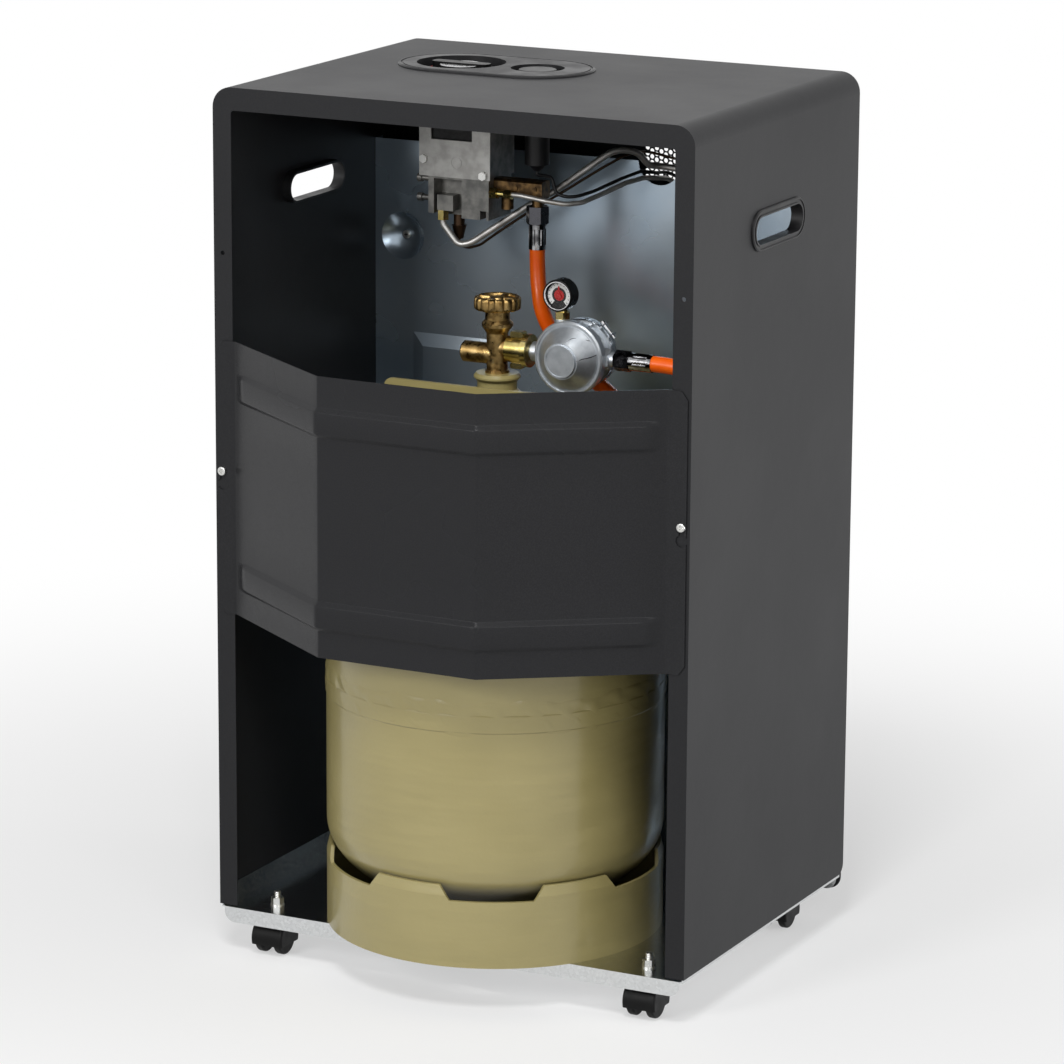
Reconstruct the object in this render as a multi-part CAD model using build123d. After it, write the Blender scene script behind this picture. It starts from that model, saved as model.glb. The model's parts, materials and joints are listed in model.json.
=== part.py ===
from build123d import *
import math
import os

os.makedirs("parts", exist_ok=True)

# Portable gas cabinet heater, shown from its open rear. Millimetres, +Z up, floor at Z = 0.
# The open rear, with the gas bottle, faces +Y. The burner side faces -Y.
# Seen from behind, +X is on the left.

# ---------------------------------------------------------------- cabinet, driving sizes
CAB_W = 460.0            # width over the side walls
CAB_D = 345.0            # depth of the wrap, rear flange to front flange
CAB_H = 740.0            # height of the wrap
RIDE = 45.0              # lower edge of the wrap above the floor
SHEET = 1.0              # sheet steel of the cabinet
WRAP_CORNER_R = 18.0     # outside bend of the two long top corners
SIDE_FOOT_R = 10.0       # rounded front lower corner of each side wall
REAR_FLANGE_SIDE = 18.0
REAR_FLANGE_TOP = 20.0
FRONT_FLANGE = 14.0
GUARD_OUT = 95.0         # how far the bottle guard stands out behind the cabinet
FRONT_OUT = 22.0         # how far the burner guard stands out in front
SEAM = 0.3               # gap between sheets that are screwed or welded together

HALF_W = CAB_W / 2
BEAD_H = 2.5             # beads of the bottle guard stand this far proud
REAR_Y = (CAB_D + FRONT_OUT - GUARD_OUT - BEAD_H) / 2
FRONT_Y = REAR_Y - CAB_D
TOP_Z = RIDE + CAB_H

# ---------------------------------------------------------------- base tray and castors
TRAY_SHEET = 1.2
TRAY_DROP = 2.0          # tray floor below the wrap's lower edge
TRAY_LIP = 14.0          # height of the rear and front lips
TRAY_LIP_IN = 4.6        # lip ends short of the cabinet's sides
TRAY_LIP_R = 10.0        # rounded lower corners of the lips
TRAY_SIDE_UP = 16.0      # upturned side flanges
TRAY_TOP = RIDE - TRAY_DROP
TRAY_UNDER = TRAY_TOP - TRAY_SHEET
FRONT_LIP_IN = 4.0       # front lip behind the front panel

CASTOR_IN_X = 45.0       # stem from the side of the cabinet
CASTOR_IN_REAR = 25.0    # stem from the rear plane
CASTOR_IN_FRONT = 40.0   # stem from the front
CASTOR_TRAIL = 5.0       # axle behind the stem
WHEEL_R = 15.0
WHEEL_W = 7.0
WHEEL_SPREAD = 18.6      # centre to centre of the two wheels
WHEEL_GAP = 0.4          # clearance of the wheels inside the hood
AXLE_R = 2.0
HOOD_R = 16.6
HOOD_WALL = 2.4
HOOD_SKIRT = 5.0         # hood reaches this far below the axle
STEM_R = 2.9
STEM_COLLAR_R = 8.0
STEM_COLLAR_H = 2.0
STEM_ABOVE = 13.0        # stem end above the tray floor
PIN_R = 3.0
PIN_H = 12.0
BOSS_R = 6.4
WASHER_R = 6.2
CASTOR_NUT_AF = 10.0
CASTOR_NUT_H = 6.0
RUN_FIT = 0.05           # radial clearance of pins and shafts that turn
CASTOR_X = HALF_W - CASTOR_IN_X

# ---------------------------------------------------------------- gas bottle
BOTTLE_R = 150.0
BOTTLE_X = -1.0
BOTTLE_IN = 91.0         # bottle axis behind the rear plane of the cabinet
BOTTLE_WALL = 3.0
RING_H = 73.0            # foot ring
RING_LEAN = 9.0          # its top leans in over this height
RING_WALL = 3.0
RING_WINDOWS = 6
RING_WINDOW_FACE = 116.0  # direction of the window that faces the viewer, degrees
RING_WINDOW_TOP = 36.8   # angle taken by each window at its top
RING_WINDOW_LOW = 28.5   # and at its lower edge
RING_WINDOW_Z = 60.0     # lower edge of the windows above the tray
SHELL_FOOT = 18.0        # lowest point of the shell above the tray
SHELL_BEND = 96.0        # top of the lower dome above the tray
SHELL_SHOULDER = 394.0   # start of the upper dome above the tray
SHELL_TOP = 474.0        # crown of the upper dome above the tray
SEAM_Z = 219.0           # weld seam above the tray
SEAM_RISE = 0.8          # the weld stands out of the shell by this much
NECK_BORE_R = 9.0
NECK_BASE_R = 21.5
NECK_WAIST_R = 17.5
NECK_RING_R = 20.6
NECK_RING_H = 6.5
HANDLE_LEN = 184.0       # carrying strip welded on the shoulder
HANDLE_T = 3.5
HANDLE_FORWARD = 35.0    # strip in front of the bottle axis
HANDLE_TOP = 489.0       # top edge above the tray
HANDLE_CORNER_R = 7.0

BOTTLE_Y = REAR_Y - BOTTLE_IN
BOTTLE_Z = TRAY_TOP

# ---------------------------------------------------------------- bottle valve and regulator
NECK_TOP = BOTTLE_Z + 496.0     # seat of the valve on the neck
VALVE_BODY_R = 9.5
STUB_R = 9.3                    # side stub with the relief valve
STUB_RISE = 16.0                # its axis above the seat
STUB_OUT = 33.0                 # its end from the bottle axis
LINE_RISE = 22.0                # gas line axis above the seat
BULGE_R = 13.7
GLAND_R = 10.8
WHEEL_RISE = 55.5               # lower face of the handwheel above the seat
HANDWHEEL_R = 20.6
HANDWHEEL_H = 12.0
HANDWHEEL_FLUTES = 16
SPINDLE_R = 4.0
OUTLET_R = 8.0
OUTLET_END = 30.0               # outlet end from the bottle axis
NUT_START = 11.5
NUT_END = 33.0
NUT_R = 11.8
NUT_FLANGE_R = 14.6
WING_R = 16.4
REG_X = -75.5                   # regulator centre from the bottle axis
REG_FRONT = 15.0                # rim of the cover in front of the gas line
REG_RIM_R = 32.6
REG_WAIST_R = 27.0
REG_BACK_R = 30.5
REG_BACK = 20.0                 # back flange behind the gas line
REG_DOME = 8.0
COVER_RIM_T = 5.0
CLIP_SEAT_R = 29.6
CLIP_T = 1.2
CLIP_W = 4.6                    # width of the spring clip
CLIP_BACK = 15.0                # its back edge behind the gas line
CLIP_TURN = -48.0               # its lug, from straight up, degrees
COVER_CONE = 15.5
COVER_CAP_R = 14.4
INLET_R = 5.4
OUT_FLAT_R = 8.2
OUT_FLAT_END = 110.5            # distances of the outlet pieces from the bottle axis
OUT_RING_END = 115.0
LOW_NUT_END = 129.0
LOW_FERRULE_END = 150.0
LOW_NUT_FLATS = 16.0
FERRULE_R = 7.8

LINE_Z = NECK_TOP + LINE_RISE
REG_CX = BOTTLE_X + REG_X

# ---------------------------------------------------------------- pressure gauge
GAUGE_X = -64.0                 # gauge centre from the bottle axis
GAUGE_RISE = 53.5               # above the gas line
GAUGE_FRONT = 13.0              # face in front of the gas line
GAUGE_DEPTH = 15.0
GAUGE_R = 14.0
GAUGE_WALL = 1.6
LENS_T = 1.0
DIAL_T = 0.8
POINTER_T = 0.5
GAUGE_STEM_FLATS = 12.0
GAUGE_STEM_BACK = 11.0          # stem behind the gauge's face
GAUGE_SEAT_RISE = 32.0          # its seat above the gas line
GAUGE_CX = BOTTLE_X + GAUGE_X
GAUGE_CZ = LINE_Z + GAUGE_RISE
GAUGE_FACE_Y = BOTTLE_Y + GAUGE_FRONT
GAUGE_STEM_Y = GAUGE_FACE_Y - GAUGE_STEM_BACK
GAUGE_SEAT_Z = LINE_Z + GAUGE_SEAT_RISE

# ---------------------------------------------------------------- controls on the top
CONTROL_IN = 219.5              # centre line of the controls behind the rear plane
BEZEL_X = 67.0
BEZEL_HALF = 38.0               # half distance between the bezel's end centres
BEZEL_R = 54.0
BEZEL_T = 2.0                   # bezel stands above the top sheet
KNOB_X = 102.0
DISH_R = 40.0
DISH_DEPTH = 27.0
DISH_WALL = 2.0
KNOB_R = 33.0
KNOB_H = 20.0
KNOB_PUSH = 5.0
KNOB_SPINDLE_R = 4.0
BUTTON_X = 26.0
BUTTON_DISH_R = 24.0
BUTTON_DISH_DEPTH = 10.0
BUTTON_R = 17.0
BUTTON_STEM_R = 6.0
BUTTON_PUSH = 5.0
BUTTON_SUNK = 1.0               # button's top below the bezel's
BUTTON_T = BUTTON_DISH_DEPTH - BUTTON_SUNK - BUTTON_PUSH - 0.5
IGNITER_R = 11.0
IGNITER_LEN = 74.0
IGNITER_BOOT = 6.0
CONTROL_Y = REAR_Y - CONTROL_IN
BEZEL_TOP = TOP_Z + BEZEL_T
DISH_FLOOR = BEZEL_TOP - DISH_DEPTH
BUTTON_FLOOR = BEZEL_TOP - BUTTON_DISH_DEPTH
VALVE_TOP = DISH_FLOOR - DISH_WALL

# ---------------------------------------------------------------- gas valve under the controls
VALVE_IN = 192.0                # face of the cover plate behind the rear plane
VALVE_X = 94.5
PLATE_W = 71.0
PLATE_T = 1.5
PLATE_DROP = 98.0               # lower edge of the cover plate below the cabinet top
PLATE_SLOT_W = 41.0
PLATE_SLOT_TOP = 52.0           # slot in the plate, below the cabinet top
PLATE_SLOT_LOW = 64.5
PLATE_POCKET = 12.0             # depth of the pocket behind the slot
MARK_R = 5.5
VALVE_DEPTH = 50.0
BODY_DROP = 134.0               # lowest face of the valve below the cabinet top
BODY_LEFT = 27.0                # sides of the lower body from the valve's centre
BODY_RIGHT = 33.5
TERMINAL_R = 2.6
RECESS_LEFT = 21.5              # recess in the lower body, from the valve's centre
RECESS_RIGHT = -6.5
RECESS_DEPTH = 15.0
MAIN_PORT_X = 16.0              # main outlet from the valve's centre
MAIN_PORT_IN = 201.0
THERMO_PORT_X = 6.5
THERMO_PORT_IN = 214.0
PILOT_PORT_IN = 198.0
PILOT_PORT_RISE = 24.5          # above the valve's lowest face
MAIN_NUT_H = 9.0
THERMO_NUT_H = 10.0
THERMO_PLUG_H = 12.0
VALVE_FACE_Y = REAR_Y - VALVE_IN
BODY_FACE_Y = VALVE_FACE_Y - PLATE_T
PLATE_LOW = TOP_Z - PLATE_DROP
BODY_LOW = TOP_Z - BODY_DROP
MAIN_PORT_Z = BODY_LOW + 5.0

# ---------------------------------------------------------------- inlet elbow and hose
ELBOW_IN = 211.0                # hose fittings behind the rear plane
ELBOW_X = 21.0
ELBOW_DROP = 105.0              # elbow axis below the cabinet top
ELBOW_BODY = 16.0
UP_NUT_TOP = 120.0              # drops below the cabinet top
UP_NUT_LOW = 136.0
UP_FERRULE_LOW = 158.5
UP_NUT_FLATS = 18.0
HOSE_R = 7.0
ELBOW_Y = REAR_Y - ELBOW_IN
ELBOW_Z = TOP_Z - ELBOW_DROP
HOSE_TOP_Z = TOP_Z - UP_FERRULE_LOW
HOSE_LOW_X = BOTTLE_X - LOW_FERRULE_END

# ---------------------------------------------------------------- partition wall
PARTITION_IN = 292.0
PARTITION_DROP = 86.0           # its top edge below the cabinet top
NOTCH_X = -60.0
NOTCH_R = 21.0
DIMPLE_IN = 30.0                # centre of each dimple from the side of the cabinet
DIMPLE_DROP = 175.0
DIMPLE_R = 22.0
DIMPLE_DEPTH = 9.0              # pressed towards the front
DIMPLE_FLAT_R = 5.5
PANEL_EMBOSS_IN = 41.0          # edge of the big emboss from the side of the cabinet
PANEL_EMBOSS_TOP = 264.0
PANEL_EMBOSS_LOW = 620.0
PANEL_EMBOSS_H = 4.0            # pressed towards the bottle
PANEL_EMBOSS_FLANK = 12.0
PARTITION_FLANGE = 12.0
PARTITION_Y = REAR_Y - PARTITION_IN
PARTITION_TOP = TOP_Z - PARTITION_DROP
DIMPLE_SEAT_Y = PARTITION_Y + SHEET / 2 - DIMPLE_DEPTH
FIELD_FRONT_Y = PARTITION_Y - SHEET / 2 + PANEL_EMBOSS_H

# ---------------------------------------------------------------- burner side
PANEL_SKIRT = 16.0              # front panel below the wrap's lower edge
PANEL_SKIRT_R = 12.0
PANEL_RETURN = 14.0
WINDOW_W = 376.0
WINDOW_H = 222.0
BURNER_DROP = 305.0             # centre of the burner below the cabinet top
VENT_PITCH = 5.3
VENT_HOLE_R = 2.1
VENT_COLUMNS = 15
VENT_ROWS = 10
VENT_X = -56.0                  # centre of the vent field
VENT_DROP = 84.0                # its centre below the cabinet top
HOUSING_W = 366.0
HOUSING_H = 206.0
HOUSING_DEPTH = 26.0
HOUSING_STAND = 7.0             # feet between the partition and the housing
PLAQUES = 3
PLAQUE_W = 116.0
PLAQUE_H = 184.0
PLAQUE_T = 13.0
PLAQUE_GAP = 2.0
FRAME_T = 1.0
FRAME_OVERLAP = 6.0
WIRE_R = 1.6
WIRES = 13
GUARD_BAR_R = 2.5
GUARD_W = 396.0
GUARD_H = 236.0
MANIFOLD_R = 6.0
MANIFOLD_BELOW = 24.0           # pipe under the burner housing
MANIFOLD_LEN = 300.0
MANIFOLD_IN = 6.5               # its axis in front of the housing's back
MIXER_R = 4.8
PANEL_Y = FRONT_Y + SHEET + SEAM            # outer face of the front panel
BURNER_Z = TOP_Z - BURNER_DROP
HOUSING_Y = PARTITION_Y - SHEET / 2 - HOUSING_STAND      # back of the housing
HOUSING_FRONT_Y = HOUSING_Y - HOUSING_DEPTH
PLAQUE_PITCH = PLAQUE_W + PLAQUE_GAP
MANIFOLD_Z = BURNER_Z - HOUSING_H / 2 - MANIFOLD_BELOW
MANIFOLD_Y = HOUSING_Y - MANIFOLD_IN

# ---------------------------------------------------------------- tubes and leads
MAIN_TUBE_R = 3.0
PILOT_TUBE_R = 2.2
LEAD_R = 1.5
THERMO_R = 1.2
PILOT_FITTING = 21.0            # length of the pilot fitting at the valve
# behind the partition each line keeps to its own plane and its own lane at the side
PLANE_MAIN = 11.5
PLANE_THERMO = 16.7
PLANE_THERMO_LOW = 5.0
PLANE_PILOT = 21.0
PLANE_LEAD = 27.5
LANE_MAIN = 16.0
LANE_PILOT = 26.0
LANE_LEAD = 34.0
LANE_THERMO = 40.0
PILOT_BELOW = 16.0              # runs under the manifold's axis
LEAD_BELOW = 27.0
THERMO_BELOW = 35.0
PILOT_X = -22.0
PILOT_IN_FRONT = 10.0           # pilot in front of the burner
SPARK_X = PILOT_X + 16.0
SENSOR_X = PILOT_X - 16.0
PILOT_Y = HOUSING_FRONT_Y - PILOT_IN_FRONT
PILOT_Z = BURNER_Z - HOUSING_H / 2 - 2.0

# ---------------------------------------------------------------- rear guard
GUARD_TOP = 517.0               # heights above the wrap's lower edge
GUARD_LOW = 271.0
GUARD_EDGE_IN = 3.0             # guard's edge from the side of the cabinet
GUARD_BEND_X = 209.0            # where the flange ends and the side facet starts
GUARD_FOLD_LEFT = 75.0          # the two folds of the middle facet
GUARD_FOLD_RIGHT = -76.0
GUARD_SHEET = 1.0
GUARD_CORNER_R = 8.0
BEAD_RAMP = 6.0
BEADS = ((294.1, 321.4), (463.3, 490.6))
BEAD_END_IN = 16.0              # bead fades out this far from the flange bend
GUARD_LIFT = 12.0
KEY_SLOT_R = 2.3
KEY_HOLE_R = 5.2
SCREW_IN = 7.5                  # screws from the side of the cabinet
SCREW_UP = 400.0                # above the wrap's lower edge
SCREW_R = 2.0
SCREW_HEAD_R = 4.0
SCREW_HEAD_H = 2.6
SPARE_IN = 8.7                  # spare pair of holes in the rear flanges
SPARE_UP = 594.5
SPARE_R = 2.0

# ---------------------------------------------------------------- hand grips
GRIP_IN = 170.0                 # centre behind the rear plane
GRIP_DROP = 108.0               # centre below the cabinet top
GRIP_LEN = 98.0                 # finger slot
GRIP_H = 24.0
GRIP_RIM = 6.0
GRIP_PROUD = 2.5
GRIP_WALL = 2.0
GRIP_DEPTH = 9.0
GRIP_Y = REAR_Y - GRIP_IN
GRIP_Z = TOP_Z - GRIP_DROP


# ================================================================ helpers
def block(x0, x1, y0, y1, z0, z1):
    size = (abs(x1 - x0), abs(y1 - y0), abs(z1 - z0))
    return Pos((x0 + x1) / 2, (y0 + y1) / 2, (z0 + z1) / 2) * Box(*size)


def rod(radius, start, end):
    """Round bar between two points."""
    axis = Vector(*end) - Vector(*start)
    low = (Align.CENTER, Align.CENTER, Align.MIN)
    return Plane(origin=start, z_dir=axis) * Cylinder(radius, axis.length, align=low)


def ring(radius, bore, start, end):
    return rod(radius, start, end) - rod(bore, start, end)


def cone(radius0, radius1, start, end):
    axis = Vector(*end) - Vector(*start)
    low = (Align.CENTER, Align.CENTER, Align.MIN)
    return Plane(origin=start, z_dir=axis) * Cone(radius0, radius1, axis.length, align=low)


def hex_bar(flats, start, end, turn=0.0):
    """Six-sided bar, measured over its flats."""
    axis = Vector(*end) - Vector(*start)
    face = Rot(0, 0, turn) * RegularPolygon(flats / 2, 6, major_radius=False)
    return Plane(origin=start, z_dir=axis) * extrude(face, axis.length)


def stadium(length, height):
    """Flat oblong face with round ends, length along its first axis."""
    return SlotOverall(length, height)


def turned(points):
    """Solid of revolution about Z from (radius, height) points."""
    outline = Polyline(*[(r, 0, z) for r, z in points], close=True)
    return revolve(make_face(outline), Axis.Z)


def tube_route(points, radii):
    return FilletPolyline(*[Vector(*p) for p in points], radius=radii)


def bar_along(route, radius):
    """Round bar swept along a route of straight runs and tangent arcs."""
    start = Plane(origin=route @ 0, z_dir=route % 0)
    return sweep(start * Circle(radius), path=route)


# ================================================================ cabinet
def rear_plane(y=REAR_Y):
    return Plane(origin=(0, y, 0), x_dir=(1, 0, 0), z_dir=(0, -1, 0))


def wrap_face(side_in, top_in, low, corner_r):
    half = HALF_W - side_in
    top = TOP_Z - top_in
    face = Pos(0, (low + top) / 2) * Rectangle(2 * half, top - low)
    return fillet(face.vertices().group_by(Axis.Y)[-1], corner_r)


def bezel_cutout(grow, z0, z1):
    face = stadium(2 * (BEZEL_HALF + BEZEL_R + grow), 2 * (BEZEL_R + grow))
    return Pos(BEZEL_X, CONTROL_Y, z0) * extrude(face, z1 - z0)


def grip_plane(x):
    return Plane(origin=(x, GRIP_Y, GRIP_Z), x_dir=(0, 1, 0), z_dir=(1, 0, 0))


def make_cabinet_wrap():
    outer = extrude(rear_plane() * wrap_face(0, 0, RIDE, WRAP_CORNER_R), CAB_D)
    hollow = extrude(
        rear_plane(REAR_Y - SHEET) * wrap_face(SHEET, SHEET, 0, WRAP_CORNER_R - SHEET),
        CAB_D - 2 * SHEET,
    )
    rear_opening = extrude(
        rear_plane(REAR_Y + 1) * wrap_face(REAR_FLANGE_SIDE, REAR_FLANGE_TOP, 0, 3.0), SHEET + 2
    )
    front_opening = extrude(
        rear_plane(FRONT_Y + SHEET + 1) * wrap_face(FRONT_FLANGE, FRONT_FLANGE, 0, 6.0), SHEET + 2
    )
    side = Plane.YZ * (Pos((REAR_Y + FRONT_Y) / 2, RIDE + CAB_H / 2) * Rectangle(CAB_D, CAB_H))
    foot = side.vertices().sort_by(Axis.Y)[:2].sort_by(Axis.Z)[0]
    side = fillet(foot, SIDE_FOOT_R)
    wrap = (outer - hollow - rear_opening - front_opening) & extrude(side, HALF_W, both=True)
    wrap -= bezel_cutout(-4.0, TOP_Z - 2 * SHEET, TOP_Z + SHEET)
    slot = stadium(GRIP_LEN + 2 * GRIP_WALL + 1.0, GRIP_H + 2 * GRIP_WALL + 1.0)
    wrap -= extrude(grip_plane(0) * slot, HALF_W + 1, both=True)
    for x in (-1, 1):
        for inset, up, radius in ((SCREW_IN, SCREW_UP, SCREW_R + 0.1), (SPARE_IN, SPARE_UP, SPARE_R)):
            px = x * (HALF_W - inset)
            wrap -= rod(radius, (px, REAR_Y + 1, RIDE + up), (px, REAR_Y - 2 * SHEET, RIDE + up))
    return wrap


def castor_places():
    rear = REAR_Y - CASTOR_IN_REAR
    front = FRONT_Y + CASTOR_IN_FRONT
    return {
        "rear_left": (CASTOR_X, rear),
        "rear_right": (-CASTOR_X, rear),
        "front_left": (CASTOR_X, front),
        "front_right": (-CASTOR_X, front),
    }


def tray_lip(y_out, thickness):
    width = CAB_W - 2 * TRAY_LIP_IN
    face = Pos(0, TRAY_TOP - TRAY_LIP / 2) * Rectangle(width, TRAY_LIP)
    face = fillet(face.vertices().group_by(Axis.Y)[0], TRAY_LIP_R)
    return extrude(rear_plane(y_out) * face, thickness)


def make_base_tray():
    half = HALF_W - SHEET - SEAM
    front = FRONT_Y + FRONT_LIP_IN
    lip_half = HALF_W - TRAY_LIP_IN
    tray = block(-lip_half, lip_half, front, REAR_Y, TRAY_UNDER, TRAY_TOP)
    inner_rear = REAR_Y - SHEET - SEAM
    tray += block(-half, half, front + SHEET, inner_rear, TRAY_UNDER, TRAY_TOP)
    for side in (-1, 1):
        tray += block(side * (half - TRAY_SHEET), side * half, front + SHEET, inner_rear,
                      TRAY_UNDER, TRAY_TOP + TRAY_SIDE_UP)
    tray += tray_lip(REAR_Y, TRAY_SHEET)
    tray += tray_lip(front + TRAY_SHEET, TRAY_SHEET)
    for x, y in castor_places().values():
        tray -= rod(STEM_R + 0.2, (x, y, TRAY_UNDER - 1), (x, y, TRAY_TOP + 1))
    return tray


def wall_plane(y):
    return Plane(origin=(0, y, 0), x_dir=(1, 0, 0), z_dir=(0, -1, 0))


def press_field(wall):
    """Presses the big field of the partition towards the bottle, with sloped flanks."""
    skins = []
    for y, shrink in ((PARTITION_Y + SHEET / 2, 0.0), (PARTITION_Y - SHEET / 2, SHEET * 0.7)):
        faces = []
        for step, inset in ((0.0, 0.0), (PANEL_EMBOSS_H, PANEL_EMBOSS_FLANK)):
            half_w = HALF_W - PANEL_EMBOSS_IN - shrink - inset
            top = TOP_Z - PANEL_EMBOSS_TOP - shrink - inset
            low = TOP_Z - PANEL_EMBOSS_LOW + shrink + inset
            face = Pos(0, (top + low) / 2) * Rectangle(2 * half_w, top - low)
            faces.append((wall_plane(y + step) * face).face())
        skins.append(loft(faces, ruled=True))
    return wall + skins[0] - skins[1]


def dimple_centre(side):
    return (side * (HALF_W - DIMPLE_IN), TOP_Z - DIMPLE_DROP)


def press_dimple(wall, side):
    """Round cup pressed towards the front, with a flat seat for its screw."""
    x, z = dimple_centre(side)
    rear, front = PARTITION_Y + SHEET / 2, PARTITION_Y - SHEET / 2
    ball_r = (DIMPLE_R ** 2 + DIMPLE_DEPTH ** 2) / (2 * DIMPLE_DEPTH)
    centre = Pos(x, rear + ball_r - DIMPLE_DEPTH, z)
    outside = centre * Sphere(ball_r + SHEET)
    reach = DIMPLE_R + 3
    outside &= block(x - reach, x + reach, front - 2 * DIMPLE_DEPTH, front, z - reach, z + reach)
    bottom = rear - DIMPLE_DEPTH
    wall = wall + outside - centre * Sphere(ball_r)
    wall += rod(DIMPLE_FLAT_R, (x, bottom - SHEET, z), (x, bottom + 0.5, z))
    return wall - rod(SCREW_R + 0.2, (x, bottom - 2 * SHEET, z), (x, rear, z))


def make_partition_wall():
    half = HALF_W - SHEET - SEAM
    low = TRAY_TOP
    y0, y1 = PARTITION_Y - SHEET / 2, PARTITION_Y + SHEET / 2
    wall = block(-half, half, y0, y1, low, PARTITION_TOP)
    wall = press_field(wall)
    for side in (-1, 1):
        wall = press_dimple(wall, side)
    wall -= rod(NOTCH_R, (NOTCH_X, y0 - 1, PARTITION_TOP), (NOTCH_X, y1 + 1, PARTITION_TOP))
    # flanges at the sides and the foot, folded towards the front
    depth = y0 - PARTITION_FLANGE
    for side in (-1, 1):
        wall += block(side * (half - SHEET), side * half, depth, y0, low + TRAY_SIDE_UP + 2,
                      PARTITION_TOP)
    inner = half - TRAY_SHEET - SEAM
    wall += block(-inner, inner, depth, y0, low, low + SHEET)
    for side in (-1, 1):
        wall -= block(side * inner, side * (half + 1), y0 - 1, y1 + 1, low - 1,
                      low + TRAY_SIDE_UP + 1)
    for x, y in castor_places().values():
        wall -= rod(WASHER_R + 1, (x, y, low - 1), (x, y, low + 2 * SHEET))
    return wall


# ================================================================ hand grips
def make_hand_grip(side):
    """Moulded grip that lines the finger slot in one side wall."""
    wall_x = side * HALF_W
    outward = Plane(origin=(wall_x, GRIP_Y, GRIP_Z), x_dir=(0, 1, 0), z_dir=(side, 0, 0))
    inward = Plane(origin=(wall_x, GRIP_Y, GRIP_Z), x_dir=(0, 1, 0), z_dir=(-side, 0, 0))
    rim_len = GRIP_LEN + 2 * GRIP_RIM
    rim_h = GRIP_H + 2 * GRIP_RIM
    rim = extrude(outward * stadium(rim_len, rim_h), GRIP_PROUD)
    rim = chamfer(rim.faces().sort_by(Axis.X)[-1 if side > 0 else 0].edges(), 1.0)
    sleeve = extrude(
        inward * stadium(GRIP_LEN + 2 * GRIP_WALL, GRIP_H + 2 * GRIP_WALL), GRIP_DEPTH
    )
    slot = extrude(grip_plane(wall_x) * stadium(GRIP_LEN, GRIP_H), 3 * GRIP_DEPTH, both=True)
    groove_out = extrude(outward * stadium(rim_len - 4.0, rim_h - 4.0), GRIP_PROUD + 1)
    groove_in = extrude(outward * stadium(GRIP_LEN + 3.0, GRIP_H + 3.0), GRIP_PROUD + 1)
    groove = (groove_out - groove_in) & extrude(
        outward.offset(GRIP_PROUD - 0.8) * stadium(rim_len, rim_h), 2.0
    )
    return rim + sleeve - slot - groove


# ================================================================ castors
def make_castor_fixings():
    """Threaded stems with their nuts and washers, one set for each castor."""
    pieces = []
    for x, y in castor_places().values():
        stem = rod(STEM_R, (x, y, TRAY_UNDER), (x, y, TRAY_TOP + STEM_ABOVE))
        stem += rod(STEM_COLLAR_R, (x, y, TRAY_UNDER - STEM_COLLAR_H), (x, y, TRAY_UNDER))
        pin_top = TRAY_UNDER - STEM_COLLAR_H
        stem += rod(PIN_R, (x, y, pin_top - PIN_H), (x, y, pin_top))
        washer = ring(WASHER_R, STEM_R + 0.2, (x, y, TRAY_TOP), (x, y, TRAY_TOP + 1.4))
        nut_low = TRAY_TOP + 1.4
        nut = hex_bar(CASTOR_NUT_AF, (x, y, nut_low), (x, y, nut_low + CASTOR_NUT_H), 20.0)
        nut -= rod(STEM_R + 0.1, (x, y, TRAY_TOP), (x, y, TRAY_TOP + 10))
        pieces += [stem, washer, nut]
    return pieces


def axle_centre(place):
    x, y = place
    return (x, y + CASTOR_TRAIL, WHEEL_R)


def make_castor_hood(place):
    x, y = place
    cx, cy, cz = axle_centre(place)
    half = WHEEL_SPREAD / 2 + WHEEL_W / 2 + WHEEL_GAP + HOOD_WALL
    hood = rod(HOOD_R, (cx - half, cy, cz), (cx + half, cy, cz))
    hood = fillet(hood.edges().filter_by(GeomType.CIRCLE), 2.0)
    hood -= block(cx - half - 1, cx + half + 1, cy - HOOD_R - 1, cy + HOOD_R + 1,
                  cz - HOOD_R - 1, cz - HOOD_SKIRT)
    pocket_half = WHEEL_W / 2 + WHEEL_GAP
    well_r = WHEEL_R + WHEEL_GAP
    for side in (-1, 1):
        wheel_x = cx + side * WHEEL_SPREAD / 2
        hood -= rod(well_r, (wheel_x - pocket_half, cy, cz), (wheel_x + pocket_half, cy, cz))
        hood -= block(wheel_x - pocket_half, wheel_x + pocket_half, cy - well_r, cy + well_r,
                      cz - HOOD_R - 1, cz)
    boss_top = TRAY_UNDER - STEM_COLLAR_H - SEAM
    boss = rod(BOSS_R, (x, y, cz + 2), (x, y, boss_top))
    web_half = WHEEL_SPREAD / 2 - pocket_half
    slab = block(cx - web_half, cx + web_half, cy - HOOD_R, cy + HOOD_R, cz, boss_top)
    above = boss - block(cx - 40, cx + 40, cy - 40, cy + 40, 0, cz + well_r)
    hood += above + (boss & slab)
    hood -= rod(PIN_R + RUN_FIT, (x, y, boss_top - PIN_H - 0.6), (x, y, boss_top + 1))
    hood -= rod(AXLE_R + RUN_FIT, (cx - half + 1.2, cy, cz), (cx + half - 1.2, cy, cz))
    return hood


def make_castor_wheels(place):
    """Two wheels pressed on one axle."""
    cx, cy, cz = axle_centre(place)
    reach = WHEEL_SPREAD / 2 + WHEEL_W / 2 + 0.8
    pair = rod(AXLE_R, (cx - reach, cy, cz), (cx + reach, cy, cz))
    for side in (-1, 1):
        wheel_x = cx + side * WHEEL_SPREAD / 2
        wheel = rod(WHEEL_R, (wheel_x - WHEEL_W / 2, cy, cz), (wheel_x + WHEEL_W / 2, cy, cz))
        pair += fillet(wheel.edges().filter_by(GeomType.CIRCLE), 1.6)
    return pair


# ================================================================ gas bottle
def on_bottle(shape):
    return Pos(BOTTLE_X, BOTTLE_Y, BOTTLE_Z) * shape


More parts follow.
